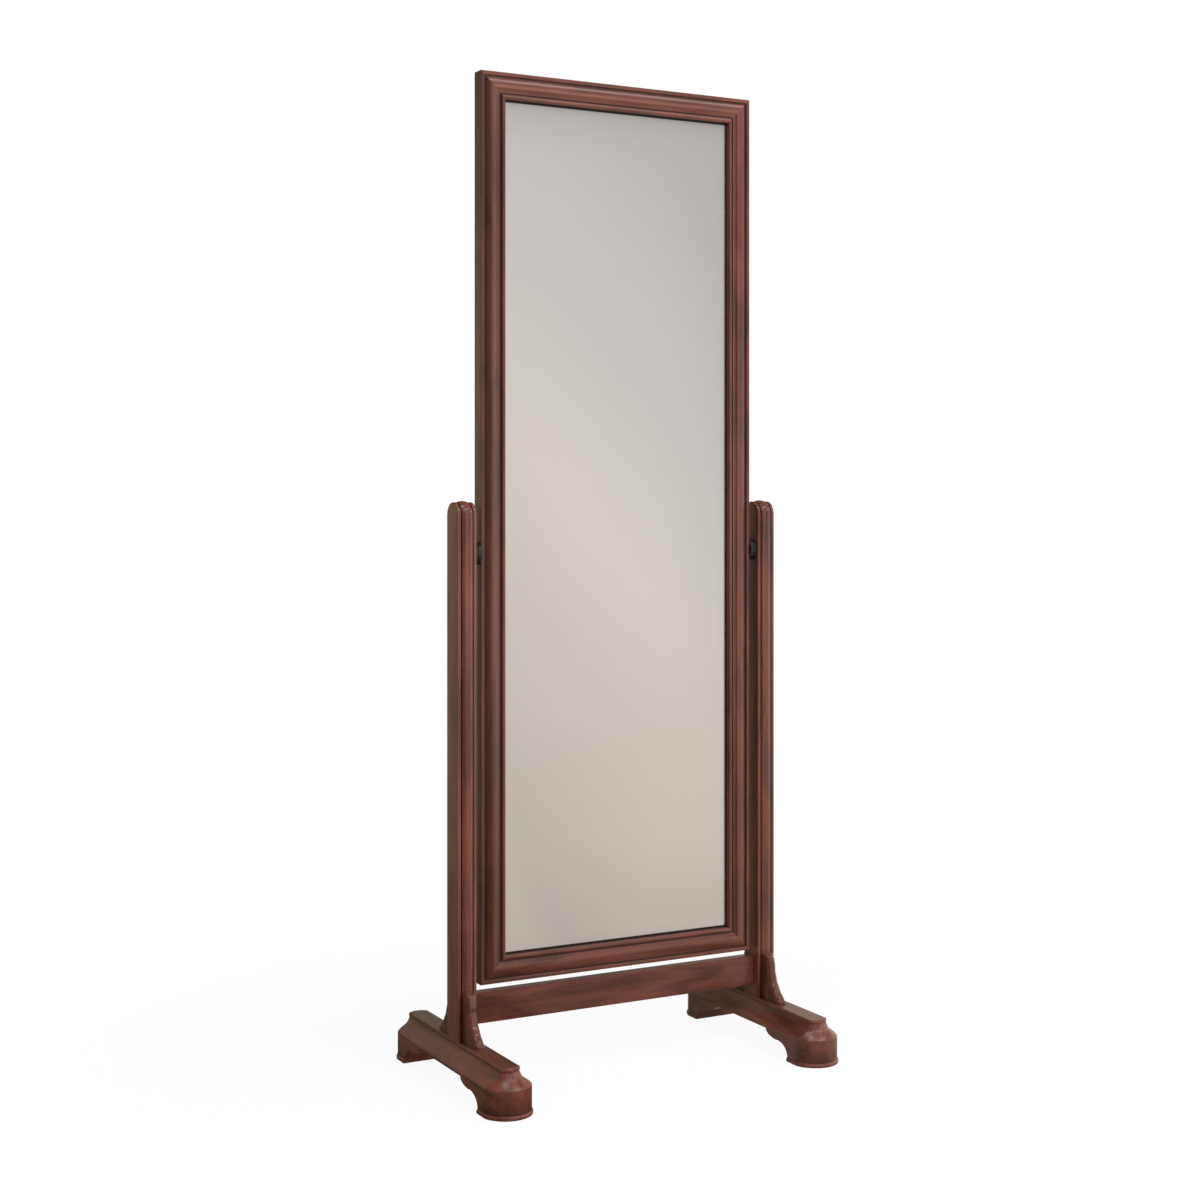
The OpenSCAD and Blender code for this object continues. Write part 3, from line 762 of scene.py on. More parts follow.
@dataclass
class Assembly:
    """A group of pieces that are built and dressed together.

    It keeps some CAD nodes, and makes finer meshes for others.
    """

    kept: ClassVar[dict[str, Kept]] = {}
    made: dict[str, bpy.types.Object] = field(default_factory=dict, init=False)

    def build(self) -> None:
        """Builds the finer meshes of the group."""

    def dress(self) -> None:
        """Puts the finer meshes in their nodes' places, and gives the kept nodes their finishes.

        A kept node's name may hold {side}, and then stands for the nodes of both sides.
        """
        for node, obj in self.made.items():
            stand_in(obj, node, PLANKS[node])
        for pattern, kept in self.kept.items():
            for node in dict.fromkeys(pattern.format(side=side.word) for side in Side):
                kept.dress(node)


@dataclass
class MirrorFrame(Assembly):
    """The mirror's frame: two stiles and two rails of one moulding, mitred and keyed."""

    kept = {"frame_corner_keys": Kept(Beech(), 0.2)}
    moulding_w: float = 48.0
    strip_w: float = 7.3
    outer_edge_r: float = 0.9
    strip_edge_r: float = 2.2
    quirk_w: float = 2.3
    quirk_d: float = 3.0
    cushion_w: float = 18.1
    cushion_drop: float = 2.0
    cushion_start: float = 25.0
    ridge_proud: float = 2.5
    ridge_r: float = 2.5
    ridge_turn: float = 28.0
    ogee_drop: float = 0.4
    # How long the ogee runs on straight at its ends, as a share of its width, and how far it dips there
    ogee_run: float = 0.32
    ogee_dip: float = 0.12
    inner_quirk_w: float = 2.3
    inner_quirk_d: float = 1.5
    bead_w: float = 8.6
    bead_h: float = 3.2
    bead_proud: float = 2.4
    rebate_w: float = 8.0
    arris: float = 0.35
    # How far below the strip, the ogee and the ridge's top their even glaze ends and the glaze with painted
    # shade of the quirks, or the painted highlight of the ridge, begins
    outer_lip: float = 0.6
    inner_lip: float = 0.3
    ridge_lip: float = 0.15
    lengthwise: int = 12
    insert_bore_deeper: float = 0.4

    def outline(self, front: float, back: float, glass: float) -> list[Flat]:
        """Draws the moulding's section.

        Args:
            front: Y of the outer strip's face.
            back: Y of the frame's back.
            glass: Y of the glass, on which the rebate rests.

        Returns:
            Points of distance inwards from the frame's edge, and Y.
        """
        rim, edge, ridge_r = self.outer_edge_r, self.strip_edge_r, self.ridge_r
        cushion_u = self.strip_w + self.quirk_w
        ridge_u = cushion_u + self.cushion_w
        bead_u = self.moulding_w - self.bead_w
        ogee_u = bead_u - self.inner_quirk_w
        ogee_y = front + self.ogee_drop
        inner_y = ogee_y + self.inner_quirk_d
        slope, turn = math.radians(self.cushion_start), math.radians(self.ridge_turn)
        half_w = self.cushion_w / math.cos(slope)
        half_h = (self.cushion_drop + self.ridge_proud) / (1 - math.sin(slope))
        top = front - self.ridge_proud
        rebate_u = self.moulding_w - self.rebate_w
        end_u, end_y = ridge_u + ridge_r * math.sin(turn), top + ridge_r * (1 - math.cos(turn))
        run = self.ogee_run * (ogee_u - end_u)
        ogee = (
            (end_u, end_y), (end_u + run * math.cos(turn), end_y + run * math.sin(turn)),
            (ogee_u - run, ogee_y - self.ogee_dip * run), (ogee_u, ogee_y),
        )
        return eased([
            *arc((rim, front + rim), rim, rim, 180, 270, 8),
            *arc((self.strip_w - edge, front + edge), edge, edge, 270, 360, 6),
            (self.strip_w, front + self.quirk_d), (cushion_u, front + self.quirk_d),
            *arc((ridge_u, top + half_h), half_w, half_h, 180 + self.cushion_start, 270, 26),
            *arc((ridge_u, top + ridge_r), ridge_r, ridge_r, 270, 270 + self.ridge_turn, 6)[1:],
            *sweep(ogee, [14])[1:],
            (ogee_u, inner_y), (bead_u, inner_y),
            *arc((bead_u + self.bead_w / 2, front - self.bead_proud + self.bead_h),
                 self.bead_w / 2, self.bead_h, 180, 360, 20),
            (self.moulding_w, glass), (rebate_u, glass), (rebate_u, back), (0, back),
        ], self.arris)

    def depth_of_glaze(self, u: float, y: float, front: float, near: float = 0.1) -> float:
        """Gives the glaze and painted light at a point of the section: glaze with painted shade in both
        quirks, wear with painted highlight on the ridge, and painted light on the outer side.

        Args:
            u: Its distance inwards from the frame's edge.
            y: Its Y.
            front: Y of the outer strip's face.
            near: How near to a line of the section counts as on it.

        Returns:
            How deep the glaze and painted shade lie, or, below 0, how much lighter the wood is painted.
        """
        bead_u = self.moulding_w - self.bead_w
        in_outer = self.strip_w - near <= u <= self.strip_w + self.quirk_w + near
        in_inner = bead_u - self.inner_quirk_w - near <= u <= bead_u + near
        inner_lip = front + self.ogee_drop + self.inner_lip
        if (in_outer and y > front + self.outer_lip) or (in_inner and y > inner_lip):
            return IN_QUIRK
        # The outer sides are painted lighter: painted light
        if u < near:
            return OUTSIDE
        return ON_RIDGE if y < front - self.ridge_proud + self.ridge_lip else EVEN

    def build(self) -> None:
        """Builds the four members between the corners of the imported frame."""
        low, high = box_of("frame_left_stile")[0], box_of("frame_right_stile")[1]
        span = high - low
        front = low.y + self.ridge_proud
        section = self.outline(front, high.y, box_of("mirror_glass")[0].y)
        glaze = [self.depth_of_glaze(u, y, front) for u, y in section]
        for member in Member:
            corner, inwards, along = member.value
            length = span.x if along[0] else span.z
            rings = []
            for share in (step / self.lengthwise for step in range(self.lengthwise + 1)):
                runs = [u + share * (length - 2 * u) for u, _ in section]
                rings.append([
                    (low.x + corner[0] * span.x + u * inwards[0] + run * along[0], y,
                     low.z + corner[1] * span.z + u * inwards[1] + run * along[1])
                    for (u, y), run in zip(section, runs)
                ])
            self.made[f"frame_{member.word}"] = loft(f"moulding_{member.word}", rings, [glaze] * len(rings))
        for side in Side:
            hole = bore(f"{side.word}_stud_insert", self.insert_bore_deeper)
            cut(self.made[f"frame_{side.word}_stile"], hole)


@dataclass
class GlassAndBack(Assembly):
    """The mirror glass, the board behind it and what holds them in the rebate."""

    kept = {
        "backing_board": Kept(Hardboard(), 0.4),
        "glass_setting_blocks": Kept(Rubber(), 0.4),
        "batten_screws": Kept(Brass(), 0.1),
        "left_batten": Kept(LacqueredMahogany(Grain.UPRIGHT, 20, film=0.0), 0.8),
        "right_batten": Kept(LacqueredMahogany(Grain.UPRIGHT, 21, film=0.0), 0.8),
        "top_batten": Kept(LacqueredMahogany(Grain.ACROSS, 22, film=0.0), 0.8),
        "bottom_batten": Kept(LacqueredMahogany(Grain.ACROSS, 23, film=0.0), 0.8),
    }
    glass_arris: float = 0.6
    # How wide the dark line beside the frame is, a painted reflection of the frame's inner side, at the
    # sides, the bottom and the top
    dark_side: float = 0.7
    dark_bottom: float = 2.4
    dark_top: float = 2.1

    def dress(self) -> None:
        """Dresses the board, battens, screws and blocks, and silvers the glass between its dark lines."""
        super().dress()
        silver = SilveredGlass(
            half_width=box_of("frame_right_stile")[0].x - self.dark_side,
            bottom=box_of("frame_bottom_rail")[1].z + self.dark_bottom,
            top=box_of("frame_top_rail")[0].z - self.dark_top,
        )
        Kept(silver, self.glass_arris).dress("mirror_glass")


@dataclass
class Pivots(Assembly):
    """The two pivots: bush, friction washer, disc spring, disc, stud and insert on each side."""

    kept = {
        "{side}_pivot_bush": Kept(MouldedNylon(), 0.7),
        "{side}_pivot_disc": Kept(MouldedNylon(), 0.7),
        "{side}_friction_washer": Kept(VulcanisedFibre(), 0.25),
        "{side}_disc_spring": Kept(ZincSteel(), 0.25),
        "{side}_pivot_stud": Kept(ZincSteel(), 0.25),
        "{side}_stud_insert": Kept(Brass(), 0.25),
    }


@dataclass
class Posts(Assembly):
    """The two posts, whose beaded face runs up the front, over the round top and down the back."""

    strip_w: float = 6.0
    quirk_w: float = 2.1
    quirk_d: float = 3.0
    bead_proud: float = 2.3
    edge_r: float = 1.1
    arris: float = 0.35
    worn: float = 0.3
    round_steps: int = 56
    straight_steps: int = 8
    crease: float = 28
    bush_bore_deeper: float = 1.0

    def bead(self, half_w: float) -> Flat:
        """Returns the half width of the bead on a post's face, and the radius of its arc."""
        half = half_w - self.strip_w - self.quirk_w
        return half, (half ** 2 + self.bead_proud ** 2) / (2 * self.bead_proud)

    def face(self, half_w: float, half_d: float) -> list[Point]:
        """Draws the section of a post's face.

        Args:
            half_w: Half of the post's width.
            half_d: Half of its depth between the strips.

        Returns:
            Distance across, half depth, and glaze with painted shade or painted highlight at each point.
        """
        bead_half, radius = self.bead(half_w)
        swing = math.degrees(math.asin(bead_half / radius))
        groove, outer, lip = half_d - self.quirk_d, half_w - self.strip_w, half_d - self.arris
        worn = self.worn * self.arris
        edge = arc((self.edge_r - half_w, half_d - self.edge_r), self.edge_r, self.edge_r, 180, 90, 5)
        left = [
            # The front corners are painted lighter (wear and painted highlight), the quirks darker (glaze
            # and painted shade)
            *((x, depth, ON_RIDGE) for x, depth in edge),
            (-outer - self.arris, half_d, EVEN), (-outer - worn, half_d - worn, AT_LIP),
            (-outer, lip, IN_QUIRK), (-outer, groove, IN_QUIRK),
            (-bead_half, groove, IN_QUIRK), (-bead_half, lip, IN_QUIRK),
        ]
        bead = arc((0, half_d + self.bead_proud - radius), radius, radius, 90 + swing, 90 - swing, 28)
        right = [(-x, depth, glaze) for x, depth, glaze in reversed(left)]
        return [*left, *((x, depth, EVEN) for x, depth in bead), *right]

    def build(self) -> None:
        """Builds both posts from slices across their width, and bores them for the bushes."""
        for side in Side:
            node = f"{side.word}_post"
            low, high = box_of(node)
            half_d = (high.y - low.y) / 2 - self.bead_proud
            round_z = high.z - half_d - self.bead_proud
            rise = [low.z + (round_z - low.z) * i / self.straight_steps for i in range(self.straight_steps)]
            rings, glaze = [], []
            for across, depth, glaze_and_light_here in self.face((high.x - low.x) / 2, half_d):
                over = arc((0, round_z), depth, depth, 180, 0, self.round_steps)
                outline = [*((-depth, z) for z in rise), *over, *((depth, z) for z in reversed(rise))]
                rings += sliced(outline, [(low.x + high.x) / 2 + across])
                glaze.append([glaze_and_light_here] * len(outline))
            self.made[node] = loft(f"timber_{node}", rings, glaze, self.crease)
            cut(self.made[node], bore(f"{side.word}_pivot_bush", self.bush_bore_deeper), self.crease)


@dataclass
class Stretcher(Assembly):
    """The board that joins the posts, on two dowels at each end."""

    kept = {"stretcher_dowels": Kept(Beech(), 0.3)}
    edge_r: float = 1.0
    edge_steps: int = 5
    lengthwise: int = 6

    def build(self) -> None:
        """Builds the board with its long edges rounded."""
        low, high = box_of("stretcher")
        r = self.edge_r
        y, z = (low.y + r, high.y - r), (low.z + r, high.z - r)
        corners = ((y[0], z[0]), (y[1], z[0]), (y[1], z[1]), (y[0], z[1]))
        section = [
            spot for i, corner in enumerate(corners)
            for spot in arc(corner, r, r, 180 + 90 * i, 270 + 90 * i, self.edge_steps)
        ]
        steps = [low.x + (high.x - low.x) * i / self.lengthwise for i in range(self.lengthwise + 1)]
        self.made["stretcher"] = loft("board_stretcher", sliced(section, steps))


@dataclass
class Feet(Assembly):
    """The two feet: moulded block, cap, glides, and the bolts that hold the posts."""

    kept = {
        "{side}_foot_glides": Kept(Felt(), 0.3),
        "foot_bolts": Kept(ZincSteel(), 0.3),
        "foot_bolt_washers": Kept(ZincSteel(), 0.2),
        "post_inserts": Kept(Brass(), 0.2),
    }
    block_h: float = 50.5
    base_bead_h: float = 9.0
    base_bead_proud: float = 2.4
    # Control points of the ogee above the block, as shares of the neck's depth and of the rise to the cap
    ogee: tuple[Flat, ...] = (
        (0, 0), (0.15, 0.13), (0.32, 0.25), (0.50, 0.36), (0.74, 0.51), (0.89, 0.62), (1, 1),
    )
    ogee_steps: tuple[int, ...] = (12, 16)
    end_r: float = 44.0
    cap_back: float = 19.5
    cap_edge_r: float = 1.6
    neck_in: float = 1.2
    arch_h: float = 45.5
    arch_below: float = 2.0
    arch_flat: float = 178.0
    toe_l: float = 67.5
    cove_l: float = 32.0
    cove_rise: float = 24.5
    cove_z: float = 8.0
    nib_w: float = 6.0
    nib_t: float = 0.5
    corner_r: float = 1.3
    end_steps: int = 96
    # The flutes that a gouge left on the ends: they begin in the middle of the ogee, and run out in the
    # last sixth of the bow on either side
    flute: float = 0.35
    flutes: int = 17
    flute_gain: float = 2.2
    flute_end: float = 1 / 6
    crease: float = 30

    def side_profile(self, low_z: float, cap_z: float, neck: float) -> list[Point]:
        """Draws a foot's moulding from the floor up.

        Args:
            low_z: Height of its lower edge.
            cap_z: Height at which the cap lies on it.
            neck: How far the neck lies inside the block's face.

        Returns:
            Distance inside the block's face, height, and glaze with painted shade in the joints at each
            point.
        """
        bead_z = (self.base_bead_h + low_z / 2) / 2
        half = self.base_bead_h - bead_z
        start = math.degrees(math.asin((low_z - bead_z) / half))
        bead = arc((0, bead_z), self.base_bead_proud, half, start, 90, 16)
        rise = cap_z - self.block_h
        ogee = sweep([(x * neck, self.block_h + z * rise) for x, z in self.ogee], self.ogee_steps)
        points = [*((-x, z) for x, z in bead), *ogee]
        # The joints at the bead and under the cap are darkened: glaze and painted shade in the creases
        joints = (len(bead) - 1, len(points) - 1)
        return [(x, z, IN_JOINT if i in joints else EVEN) for i, (x, z) in enumerate(points)]

    def plan(self, half_w: float, radius: float, end_y: float, fluted: float = 0.0) -> list[Flat]:
        """Draws the plan of a foot or a cap at one height.

        Args:
            half_w: Half of its width there.
            radius: Radius of its bowed ends there.
            end_y: Where the ends' centres lie, before and behind the middle.
            fluted: How deep the flutes are there.

        Returns:
            The closed plan, with its four corners eased.
        """
        swing = math.asin(min(1.0, half_w / radius))
        last = self.end_steps
        bow = []
        for i in range(last + 1):
            turn = swing * (2 * i / last - 1)
            fade = min(1.0, (1 - abs(turn) / swing) / self.flute_end)
            reach = radius - fluted * fade * wave(self.flutes * i / last)
            bow.append((reach * math.sin(turn), end_y + reach * math.cos(turn)))
        corners = (0, last, last + 1, 2 * last + 1)
        return eased([*reversed(bow), *((x, -y) for x, y in bow)], self.corner_r, corners)

    def arch(self, half_w: float, half_l: float) -> bpy.types.Object:
        """Makes the tool that cuts the arch and the coves beside the toes.

        Args:
            half_w: Half of the foot's width.
            half_l: Half of the foot's length.

        Returns:
            A closed bar across the foot's middle.
        """
        toe_y = half_l - self.toe_l
        cove_y = toe_y - self.cove_l
        nib_y = cove_y - self.nib_w
        sag = self.cove_z + self.cove_rise - self.arch_h - self.nib_t
        quarter = [
            (toe_y, -self.arch_below), *arc((cove_y, self.cove_z), self.cove_l, self.cove_rise, 0, 90, 24),
            *arc((nib_y, self.arch_h), self.arch_flat / 2 - nib_y, sag, 90, 0, 18),
        ]
        outline = [*quarter, *((-y, z) for y, z in reversed(quarter))]
        return loft("arch_tool", sliced(outline, (-2 * half_w, 2 * half_w)))

    def build(self) -> None:
        """Builds both blocks and both caps."""
        for side in Side:
            self.build_foot(side)

    def build_foot(self, side: Side) -> None:
        """Builds one foot's block and its cap.

        Args:
            side: The side of the stand that it is on.
        """
        block_node, cap_node = f"{side.word}_foot", f"{side.word}_foot_cap"
        (low, high), (cap_low, cap_high) = box_of(block_node), box_of(cap_node)
        middle = (low.x + high.x) / 2
        cap_half = (cap_high.x - cap_low.x) / 2
        half_w = (high.x - low.x) / 2 - self.base_bead_proud
        end_y = cap_high.y - (self.end_r - self.cap_back)
        end_share = self.cap_back / (half_w - cap_half)
        neck = half_w - cap_half + self.neck_in
        rings, glaze = [], []
        for inside, z, depth in self.side_profile(low.z, high.z, neck):
            end_in = inside if inside < 0 else inside * end_share
            fluted = self.flute * min(1.0, max(0.0, self.flute_gain * inside / neck - 1.0))
            plan = self.plan(half_w - inside, self.end_r - end_in, end_y, fluted)
            rings.append([(x, y, z) for x, y in plan])
            glaze.append([depth] * len(plan))
        block = loft(f"block_{block_node}", rings, glaze, self.crease)
        cut(block, self.arch(half_w, end_y + self.end_r + self.base_bead_proud), self.crease)
        block.data.transform(Matrix.Translation((middle * MM, 0, 0)))
        r = self.cap_edge_r
        edge = [*arc((-r, cap_low.z + r), r, r, -90, 0, 6), *arc((-r, cap_high.z - r), r, r, 0, 90, 6)]
        plans = [self.plan(cap_half + x, self.end_r - self.cap_back + x, end_y) for x, _ in edge]
        rings = [[(middle + x, y, z) for x, y in plan] for plan, (_, z) in zip(plans, edge)]
        # The cap's rounded edge is painted lighter: wear and painted highlight
        flat = (0, len(edge) - 1)
        glaze = [[EVEN if i in flat else ON_EDGE] * len(plan) for i, plan in enumerate(plans)]
        self.made[block_node] = block
        self.made[cap_node] = loft(f"slab_{cap_node}", rings, glaze, self.crease)


@dataclass
class Brackets(Assembly):
    """The four carved brackets between the posts and the foot caps."""

    kept = {"bracket_dowels": Kept(Beech(), 0.3)}
    post: Posts = field(default_factory=Posts)
    shoulder: float = 23.5
    rise: float = 4.0
    reach: float = 59.0
    wider: float = 0.8
    # Control points of the front from its top to its toe, as shares of the shoulder, reach and height
    front: tuple[Point, ...] = (
        (0, 0, 1), (0.5, 0, 1), (0.92, 0, 0.9), (0.97, 0, 0.7), (1, 0.01, 0.5), (1, 0.15, 0.27),
        (0, 0.96, 0.07), (0, 0.99, 0.055), (0, 1, 0.03), (0, 0.99, 0),
    )
    front_steps: tuple[int, ...] = (18, 40, 10)
    edge_r: float = 9.0
    crown: float = 0.4
    rib: float = 0.10
    rib_pitch: float = 3.2
    ripple: float = 0.85
    ripple_pitch: float = 19.0
    # The ripples fade in over the first millimetres, and out over the last chords
    ripple_in: float = 12.0
    ripple_out: int = 8
    slices: int = 64
    clearance: float = 0.05
    crease: float = 50

    def shaped(self, curve: Sequence[Flat], inset: float) -> list[Flat]:
        """Draws one slice's front: drawn in towards the edges, with the ripples that a gouge leaves.

        Args:
            curve: The front in the middle of the bracket.
            inset: How far this slice lies inside it.

        Returns:
            The slice's front, nowhere proud of the middle one.
        """
        result, run, last = [], 0.0, len(curve) - 1
        for i, (y, z) in enumerate(curve):
            before, after = curve[max(0, i - 1)], curve[min(last, i + 1)]
            run += math.dist((y, z), before)
            way = (Vector(after) - Vector(before)).normalized()
            fade = min(1.0, run / self.ripple_in, (last - i) / self.ripple_out)
            depth = inset + self.ripple * fade * wave(run / self.ripple_pitch)
            result.append((y + depth * way.y, z - depth * way.x))
        return result

    def build(self) -> None:
        """Builds the four brackets from slices across their width, seated on the posts' beads."""
        for side in Side:
            post_low, post_high = box_of(f"{side.word}_post")
            _, radius = self.post.bead((post_high.x - post_low.x) / 2)
            root_y, bead_y = post_high.y - self.post.bead_proud, post_high.y - radius
            for face in Face:
                node = f"{side.word}_{face.word}_bracket"
                low, high = box_of(node)
                height = high.z - low.z + self.rise
                curve = sweep([(s * self.shoulder + r * self.reach, h * height) for s, r, h in self.front],
                              self.front_steps)
                half_w = (high.x - low.x) / 2 + self.wider
                rings = []
                for j in range(self.slices + 1):
                    share = math.sin(math.pi * (j / self.slices - 0.5))
                    x = half_w * share
                    over = max(0.0, abs(x) - half_w + self.edge_r)
                    rounded = self.edge_r - math.sqrt(max(0.0, self.edge_r ** 2 - over ** 2))
                    ribbed = self.rib * wave(x / self.rib_pitch) * (1 - share ** 4)
                    outline = self.shaped(curve, rounded + self.crown * share ** 2 + ribbed)
                    seat = max(root_y, bead_y + math.sqrt((radius + self.clearance) ** 2 - x * x))
                    ring = [(seat, 0.0), *((max(seat, root_y + y), max(0.0, z)) for y, z in outline)]
                    ring.append((ring[-1][0], 0.0))
                    rings.append([((low.x + high.x) / 2 + x, face.value * y, low.z + z) for y, z in ring])
                self.made[node] = loft(f"carved_{node}", rings, crease=self.crease)


@dataclass
class ViewCamera:
    """The camera, set level at the photograph's viewing angle and shifted up and down only."""

    place: Point = (-1711.05, -3117.78, 1050.79)
    turn: float = -28.261
    focal_px: float = 1922.58
    horizon_px: float = 491.89
    image_px: float = 1200.0
    sensor: float = 36.0

    def build(self) -> None:
        """Makes the camera and gives it to the scene."""
        data = bpy.data.cameras.new("view")
        data.sensor_width = self.sensor
        data.lens = self.focal_px / self.image_px * self.sensor
        data.shift_y = (self.horizon_px - self.image_px / 2) / self.image_px
        camera = bpy.data.objects.new("view", data)
        camera.location = Vector(self.place) * MM
        camera.rotation_euler = (math.radians(90), 0, math.radians(self.turn))
        bpy.context.scene.collection.objects.link(camera)
        bpy.context.scene.camera = camera
        LOG.info("camera is set")


@dataclass(frozen=True)
class Lamp:
    """A rectangular soft box: its name, place, width, height and brightness, and whether gloss shows it."""

    name: str
    place: Point
    width: float
    height: float
    radiance: float
    glossy: bool = False

    def build(self, target: Point) -> None:
        """Makes the soft box.

        Args:
            target: The place that it faces.
        """
        data = bpy.data.lights.new(self.name, "AREA")
        data.shape = "RECTANGLE"
        data.size = self.width
        data.size_y = self.height
        data.energy = self.radiance * math.pi * self.width * self.height
        light = bpy.data.objects.new(self.name, data)
        light.location = self.place
        light.visible_glossy = self.glossy
        light.rotation_euler = (Vector(target) - Vector(self.place)).to_track_quat("-Z", "Y").to_euler()
        bpy.context.scene.collection.objects.link(light)
        LOG.info("%s is lit", self.name)


@dataclass
class Studio:
    """A plain pale floor, soft lamps, and a round wall that only gloss and glass see.

    Gloss and glass see the floor and the wall glow, in a tone that goes by place and is dimmed by the way
    round. Ramps over the way round have stops in shares of a turn; the mirror at rest shows 0.52 to 0.61.
    """

    lamps: ClassVar[tuple[Lamp, ...]] = (
        Lamp("lamp_top", (0.4, -1.5, 3.9), 4.0, 2.4, 2.4),
        Lamp("lamp_over", (1.2, -2.6, 4.4), 3.8, 0.8, 3.8, glossy=True),
        Lamp("lamp_side", (-0.7, -0.7, 4.4), 1.1, 0.9, 4.5, glossy=True),
        Lamp("lamp_right", (3.2, -3.6, 1.8), 2.0, 2.6, 3.0),
        Lamp("lamp_front", (0.9, -4.4, 1.0), 1.8, 1.6, 8.0),
    )
    # The glow around the room: dim to the left of the object and bright to its right
    around: ClassVar[dict[float, str]] = {
        0.0: "#8e857a", 0.079: "#88846f", 0.087: "#6c6857", 0.25: "#5e5a48", 0.36: "#48433f",
        0.50: "#3a3632", 0.67: "#eceaea", 0.81: "#e6e4e3", 0.895: "#b4aa9e", 0.915: "#78706a",
    }
    wall_ahead: ClassVar[dict[float, str]] = {
        0.518: "#eae8e6", 0.547: "#eae8e6", 0.558: "#a3a3a3", 0.575: "#a6a6a6", 0.587: "#a5a5a5",
        0.592: "#a1a1a1", 0.596: "#9b9b9b", 0.612: "#9a9a9a",
    }
    floor_ahead: ClassVar[dict[float, str]] = {
        0.518: "#acacac", 0.547: "#a6a6a6", 0.558: "#9a9a9a", 0.571: "#a0a0a0", 0.588: "#a9a9a9",
        0.612: "#a8a8a8",
    }
    # The wall's tones from below upwards, and the floor's from the object outwards
    wall_tones: ClassVar[dict[float, str]] = {
        0.0: "#c7bfb6", 0.10: "#cec6bf", 0.167: "#d4cfc7", 0.24: "#dbd5d0", 0.317: "#d4cfcb",
        0.393: "#c6c3c0", 0.467: "#bdbab8", 0.533: "#b0adaa", 0.60: "#a29e9a", 0.80: "#8e8a86",
        0.90: "#78746f",
    }
    floor_tones: ClassVar[dict[float, str]] = {
        0.0: "#aea399", 0.16: "#bab0a5", 0.35: "#c7bdb1", 1.0: "#d0c8bf",
    }
    floor_half: float = 9.0
    wall_radius: float = 5.2
    wall_height: float = 5.0
    wall_steps: int = 96
    target: Point = (0.0, 0.0, 0.9)
    ambient: float = 0.38
    glow: float = 2.4
    floor_colour: str = "#cfc7be"
    floor_shown: float = 0.98
    # What share of the object's shadow the camera sees, and where that runs out
    shadow_share: float = 0.06
    shadow_end: Flat = (0.5, 1.3)
    floor_tones_from: float = 0.6
    # Where the floor's glow is dimmed between the feet, so that it doesn't light up the foot beside it
    dim_place: Point = (0.3, 0.0, 0.0)
    dim_end: Flat = (0.2, 0.45)
    dim_share: float = 0.6
    # The wall's tones lie over these heights, on lines that lean as X grows
    tone_z: Flat = (-0.6, 5.4)
    lean_x: Flat = (1.9, 3.05)
    lean_z: Flat = (-0.63, 0.78)
    # A soft shade begins at these heights, and before the object a bright band lies above it
    shade_z: Flat = (2.58, 2.84)
    shade_share: float = 0.26
    band_z: Flat = (2.5, 4.5)
    band_y: Flat = (-0.5, -1.5)
    band_glow: float = 1.4

    def build(self) -> None:
        """Makes the floor, the walls, the lamps and the world."""
        bpy.context.scene.view_settings.view_transform = "Standard"
        self.make_floor()
        self.make_walls()
        self.make_world()
        for lamp in self.lamps:
            lamp.build(self.target)

    def stage_piece(
        self, name: str, points: Sequence[Point], faces: Sequence[Sequence[int]]
    ) -> tuple[bpy.types.Object, bpy.types.NodeTree]:
        """Makes a part of the studio, with a material that is still empty.

        Args:
            name: Its name.
            points: The corners of its mesh.
            faces: The corners of each face.

        Returns:
            Its object, and its material's tree.
        """
        mesh = bpy.data.meshes.new(name)
        mesh.from_pydata(points, [], faces)
        material = bpy.data.materials.new(f"studio_{name}")
        material.use_nodes = True
        material.node_tree.nodes.clear()
        mesh.materials.append(material)
        obj = bpy.data.objects.new(name, mesh)
        bpy.context.scene.collection.objects.link(obj)
        return obj, material.node_tree

    def glowing(
        self, tree: bpy.types.NodeTree, place: Source, tone: Source, ahead: dict[float, str],
    ) -> bpy.types.Node:
        """Adds the glow that gloss and glass see.

        Args:
            tree: The material's tree.
            place: Places in the studio.
            tone: The glow's tone there.
            ahead: How bright it is in the part that the mirror shows.

        Returns:
            The emission.
        """
        turned = add_node(tree, "Mapping", {"Vector": place, "Rotation": (0, 0, math.pi / 2)})
        around = add_node(tree, "TexGradient", (turned,), gradient_type="RADIAL").outputs["Fac"]
        seen = add_node(tree, "Mix", {
            "Factor": 1.0, "A": tone, "B": add_node(tree, "ValToRGB", (around,), self.around | ahead),
        }, data_type="RGBA", blend_type="MULTIPLY")
        return add_node(tree, "Emission", (seen, self.glow))

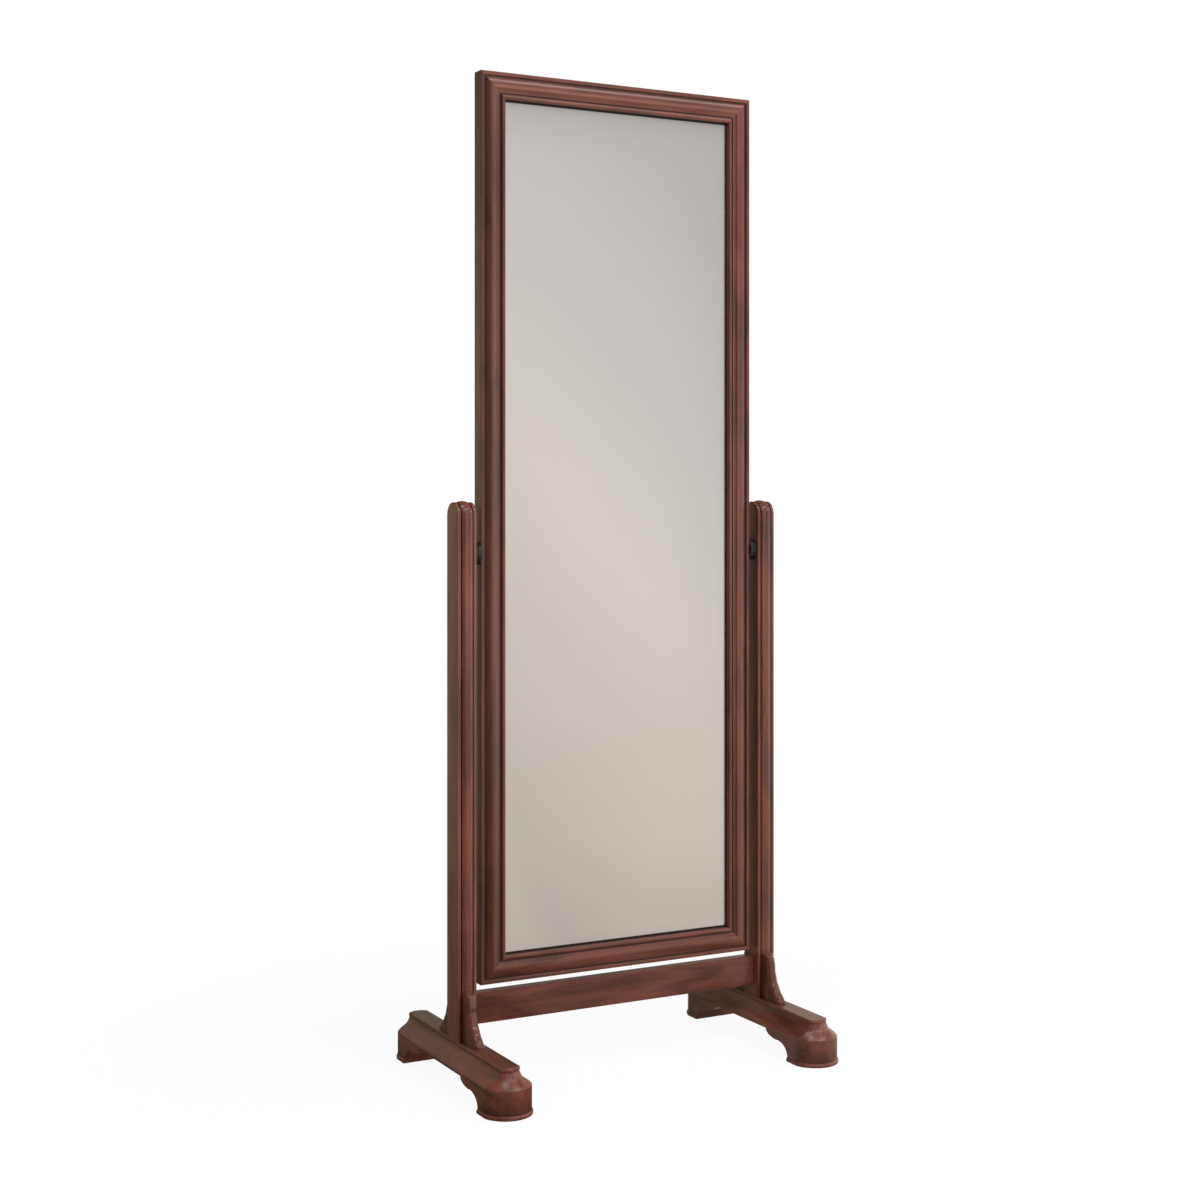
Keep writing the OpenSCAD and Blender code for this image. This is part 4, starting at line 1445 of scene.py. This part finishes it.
    def make_floor(self) -> None:
        """Makes the floor: white to the camera, with part of the object's shadow, pale to the rest."""
        half = self.floor_half
        corners = [(-half, -half, 0), (half, -half, 0), (half, half, 0), (-half, half, 0)]
        _, tree = self.stage_piece("floor", corners, [range(4)])
        add = partial(add_node, tree)
        rays = add("LightPath").outputs
        place = add("TexCoord").outputs["Object"]
        away = add("VectorMath", (place,), operation="LENGTH")
        colour = add("Mix", {
            "Factor": rays["Is Camera Ray"], "A": self.floor_colour, "B": linear(self.floor_shown),
        }, data_type="RGBA")
        white = add("Emission", (linear(1.0), 1.0))
        clear = add("MapRange", (away, *self.shadow_end, 1 - self.shadow_share, 1.0),
                    interpolation_type="SMOOTHSTEP")
        shown = add("Math", (rays["Is Camera Ray"], clear), operation="MULTIPLY")
        direct = add("MixShader", (shown, add("BsdfDiffuse", (colour,)), white))
        depth = add("MapRange", (away, self.floor_tones_from, self.wall_radius))
        beside = add("VectorMath", (place, self.dim_place), operation="DISTANCE")
        tone = add("Mix", {
            "Factor": add("MapRange", (beside, *self.dim_end, self.dim_share, 0.0)),
            "A": add("ValToRGB", (depth,), self.floor_tones), "B": linear(0.0),
        }, data_type="RGBA")
        mirrored = self.glowing(tree, place, tone, self.floor_ahead)
        add("OutputMaterial", (add("MixShader", (rays["Is Glossy Ray"], direct, mirrored)),))

    def make_walls(self) -> None:
        """Makes the round wall, whose brightest part slopes across what the mirror shows."""
        count = self.wall_steps
        ring = arc((0, 0), self.wall_radius, self.wall_radius, 0, 360, count)[:-1]
        faces = [(i, (i + 1) % count, count + (i + 1) % count, count + i) for i in range(count)]
        points = [(x, y, z) for z in (0, self.wall_height) for x, y in ring]
        walls, tree = self.stage_piece("walls", points, [*faces, range(count, 2 * count)])
        walls.visible_camera = walls.visible_diffuse = walls.visible_shadow = False
        add = partial(add_node, tree)
        place = add("TexCoord").outputs["Object"]
        parts = add("SeparateXYZ", (place,)).outputs
        lean = add("MapRange", (parts["X"], *self.lean_x, *self.lean_z))
        height = add("Math", (parts["Z"], lean), operation="ADD")
        tone = add("ValToRGB", (add("MapRange", (height, *self.tone_z)),), self.wall_tones)
        shaded = add("Mix", {
            "Factor": add("MapRange", (parts["Z"], *self.shade_z, 0.0, self.shade_share)),
            "A": tone, "B": linear(0.0),
        }, data_type="RGBA")
        band = add("ValToRGB", (add("MapRange", (parts["Z"], *self.band_z)),),
                   {0.26: 0.0, 0.32: 1.0, 0.66: 1.0, 0.74: 0.0})
        before = add("MapRange", (parts["Y"], *self.band_y))
        lit = add("Mix", {
            "Factor": add("Math", (band, before), operation="MULTIPLY"),
            "A": shaded, "B": linear(self.band_glow),
        }, data_type="RGBA")
        add("OutputMaterial", (self.glowing(tree, place, lit, self.wall_ahead),))

    def make_world(self) -> None:
        """Makes the world: white to the camera, gloss and glass, soft grey light to the rest."""
        world = bpy.data.worlds.new("studio")
        bpy.context.scene.world = world
        world.use_nodes = True
        world.node_tree.nodes.clear()
        add = partial(add_node, world.node_tree)
        rays = add("LightPath").outputs
        seen = rays["Is Camera Ray"]
        for kind in ("Is Glossy Ray", "Is Transmission Ray"):
            seen = add("Math", (seen, rays[kind]), operation="MAXIMUM")
        soft, white = (add("Background", (linear(1.0), strength)) for strength in (self.ambient, 1.0))
        add("OutputWorld", (add("MixShader", (seen, soft, white)),))


def main() -> None:
    """Builds and dresses the mirror, piece by piece, in its studio."""
    logging.basicConfig(level=logging.INFO, format="%(message)s")
    ViewCamera().build()
    Studio().build()
    for group in (MirrorFrame(), GlassAndBack(), Pivots(), Posts(), Stretcher(), Feet(), Brackets()):
        group.build()
        group.dress()
        LOG.info("%s is done", type(group).__name__)


if __name__ == "__main__":
    main()
